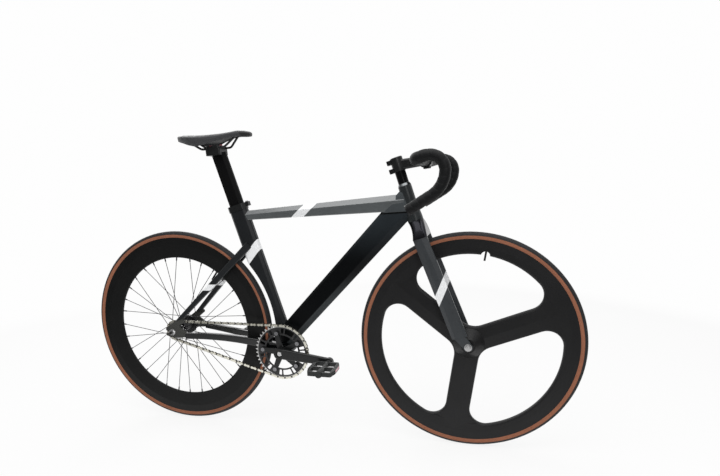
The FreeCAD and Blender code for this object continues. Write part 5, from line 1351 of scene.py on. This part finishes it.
LAMPS = (
    Lamp("top_soft_box", place=(0.1, -0.5, 2.7), aim=(0.0, 0.0, 0.4), size=(3.0, 2.2), watts=34.0),
    Lamp("front_fill", place=(1.4, -2.6, 1.5), aim=(0.0, 0.0, 0.4), size=(0.7, 1.5), watts=12.0),
    Lamp("rear_edge", place=(-1.6, 2.0, 1.9), aim=(0.0, 0.0, 0.5), size=(1.8, 1.2), watts=14.0),
)


@dataclass
class Studio:
    """White floor and surroundings, soft lights and the camera."""

    camera_place: Place = (0.534, -1.487, 0.840)
    yaw: float = 14.31
    pitch: float = -10.67
    roll: float = 1.54
    focal_pixels: float = 499.9
    picture_width: float = 720.0
    picture_height: float = 476.0
    axis_row: float = 270.0
    sensor: float = 36.0
    near_clip: float = 0.05
    backdrop: Colour = (0.99, 0.99, 0.99)
    floor_tone: Colour = (0.97, 0.97, 0.97)
    floor_radius: float = 9.0
    floor_sides: int = 96
    floor_fade: Span = (1.1, 2.6)
    floor_lift: float = 0.85
    paper_edge: Span = (0.8, 1.7)
    dark_room: float = 0.12
    ceiling_edge: Span = (0.15, 0.75)
    paper_side: Span = (0.05, 0.45)
    ambient: float = 0.6

    def camera(self) -> None:
        """Camera at the photograph's viewing angle."""
        yaw, pitch, roll = (math.radians(angle) for angle in (self.yaw, self.pitch, self.roll))
        ahead = Vector((-math.sin(yaw) * math.cos(pitch), math.cos(yaw) * math.cos(pitch), math.sin(pitch)))
        level = Vector((math.cos(yaw), math.sin(yaw), 0.0))
        upright = level.cross(ahead)
        right = level * math.cos(roll) + ahead.cross(level) * math.sin(roll)
        over = upright * math.cos(roll) + ahead.cross(upright) * math.sin(roll)
        data = bpy.data.cameras.new("photograph_camera")
        data.sensor_width = self.sensor
        data.lens = self.sensor * self.focal_pixels / self.picture_width
        data.shift_y = (self.axis_row - self.picture_height / 2) / self.picture_width
        data.clip_start = self.near_clip
        camera = bpy.data.objects.new("photograph_camera", data)
        turned = Matrix((right, over, -ahead)).transposed().to_4x4()
        camera.matrix_world = Matrix.Translation(self.camera_place) @ turned
        bpy.context.scene.collection.objects.link(camera)
        bpy.context.scene.camera = camera

    def floor(self) -> None:
        """Pale floor that keeps soft shadows, fades into the backdrop and ends where a paper sweep would."""
        bm = bmesh.new()
        bmesh.ops.create_circle(bm, cap_ends=True, segments=self.floor_sides, radius=self.floor_radius)
        plane = Mesher.object_from("studio_floor", bm, smooth=False)
        bench = Bench("studio_floor")
        bench.tree.nodes.remove(bench.shader)
        direct, mirrored, _ = bench.rays()
        along, aside, _ = bench.axes()
        away = bench.distance(along, aside)
        fade = bench.maths("MAXIMUM", bench.rise(away, *self.floor_fade), self.floor_lift)
        share = bench.maths("MAXIMUM", bench.maths("MULTIPLY", fade, direct), mirrored)
        near = bench.fall(aside, 0.0, self.paper_edge[0])
        room = bench.maths("MULTIPLY", bench.rise(away, *self.paper_edge), near)
        paper = bench.between(room, 1.0, self.dark_room)
        matte = bench.add("ShaderNodeBsdfDiffuse")
        bench.feed(matte.inputs["Color"], self.floor_tone)
        glow = bench.add("ShaderNodeEmission")
        bench.feed(glow.inputs["Color"], self.backdrop)
        bench.feed(glow.inputs["Strength"], bench.maths("MAXIMUM", direct, paper))
        mix = bench.add("ShaderNodeMixShader")
        bench.feed(mix.inputs[0], share)
        bench.feed(mix.inputs[1], matte.outputs[0])
        bench.feed(mix.inputs[2], glow.outputs[0])
        bench.feed(bench.tree.nodes["Material Output"].inputs["Surface"], mix.outputs[0])
        plane.data.materials.append(bench.material)

    def surroundings(self) -> None:
        """White backdrop and ceiling, a darker room before them, and a plain level of light on the object."""
        world = bpy.data.worlds.new("studio")
        world.use_nodes = True
        bpy.context.scene.world = world
        bench = Bench.of_world(world)
        glow = bench.tree.nodes["Background"]
        bench.feed(glow.inputs["Color"], self.backdrop)
        direct, mirrored, scattered = bench.rays()
        _, behind, height = bench.axes()
        above = bench.rise(height, *self.ceiling_edge)
        paper = bench.maths("MAXIMUM", above, bench.rise(behind, *self.paper_side))
        ceiling = bench.between(paper, self.dark_room, 1.0)
        shown = bench.maths("MAXIMUM", direct, bench.maths("MULTIPLY", mirrored, ceiling))
        around = bench.maths("MULTIPLY", scattered, self.ambient)
        bench.feed(glow.inputs["Strength"], bench.maths("MAXIMUM", shown, around))

    def build(self) -> None:
        """Sets the whole studio up."""
        bpy.context.scene.view_settings.view_transform = "Standard"
        self.camera()
        self.floor()
        self.surroundings()
        for lamp in LAMPS:
            lamp.hang()


def main() -> None:
    """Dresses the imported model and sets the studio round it."""
    logging.basicConfig(level=logging.INFO, format="%(name)s %(message)s")
    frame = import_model()
    joints = {joint["name"]: joint for joint in frame["joints"]}
    for group in (Frame, Fork, Cockpit, SeatGroup, Wheels, Drivetrain):
        assembly = group(frame["nodes"], joints)
        assembly.dress()
        assembly.build()
    Studio().build()


if __name__ == "__main__":
    main()
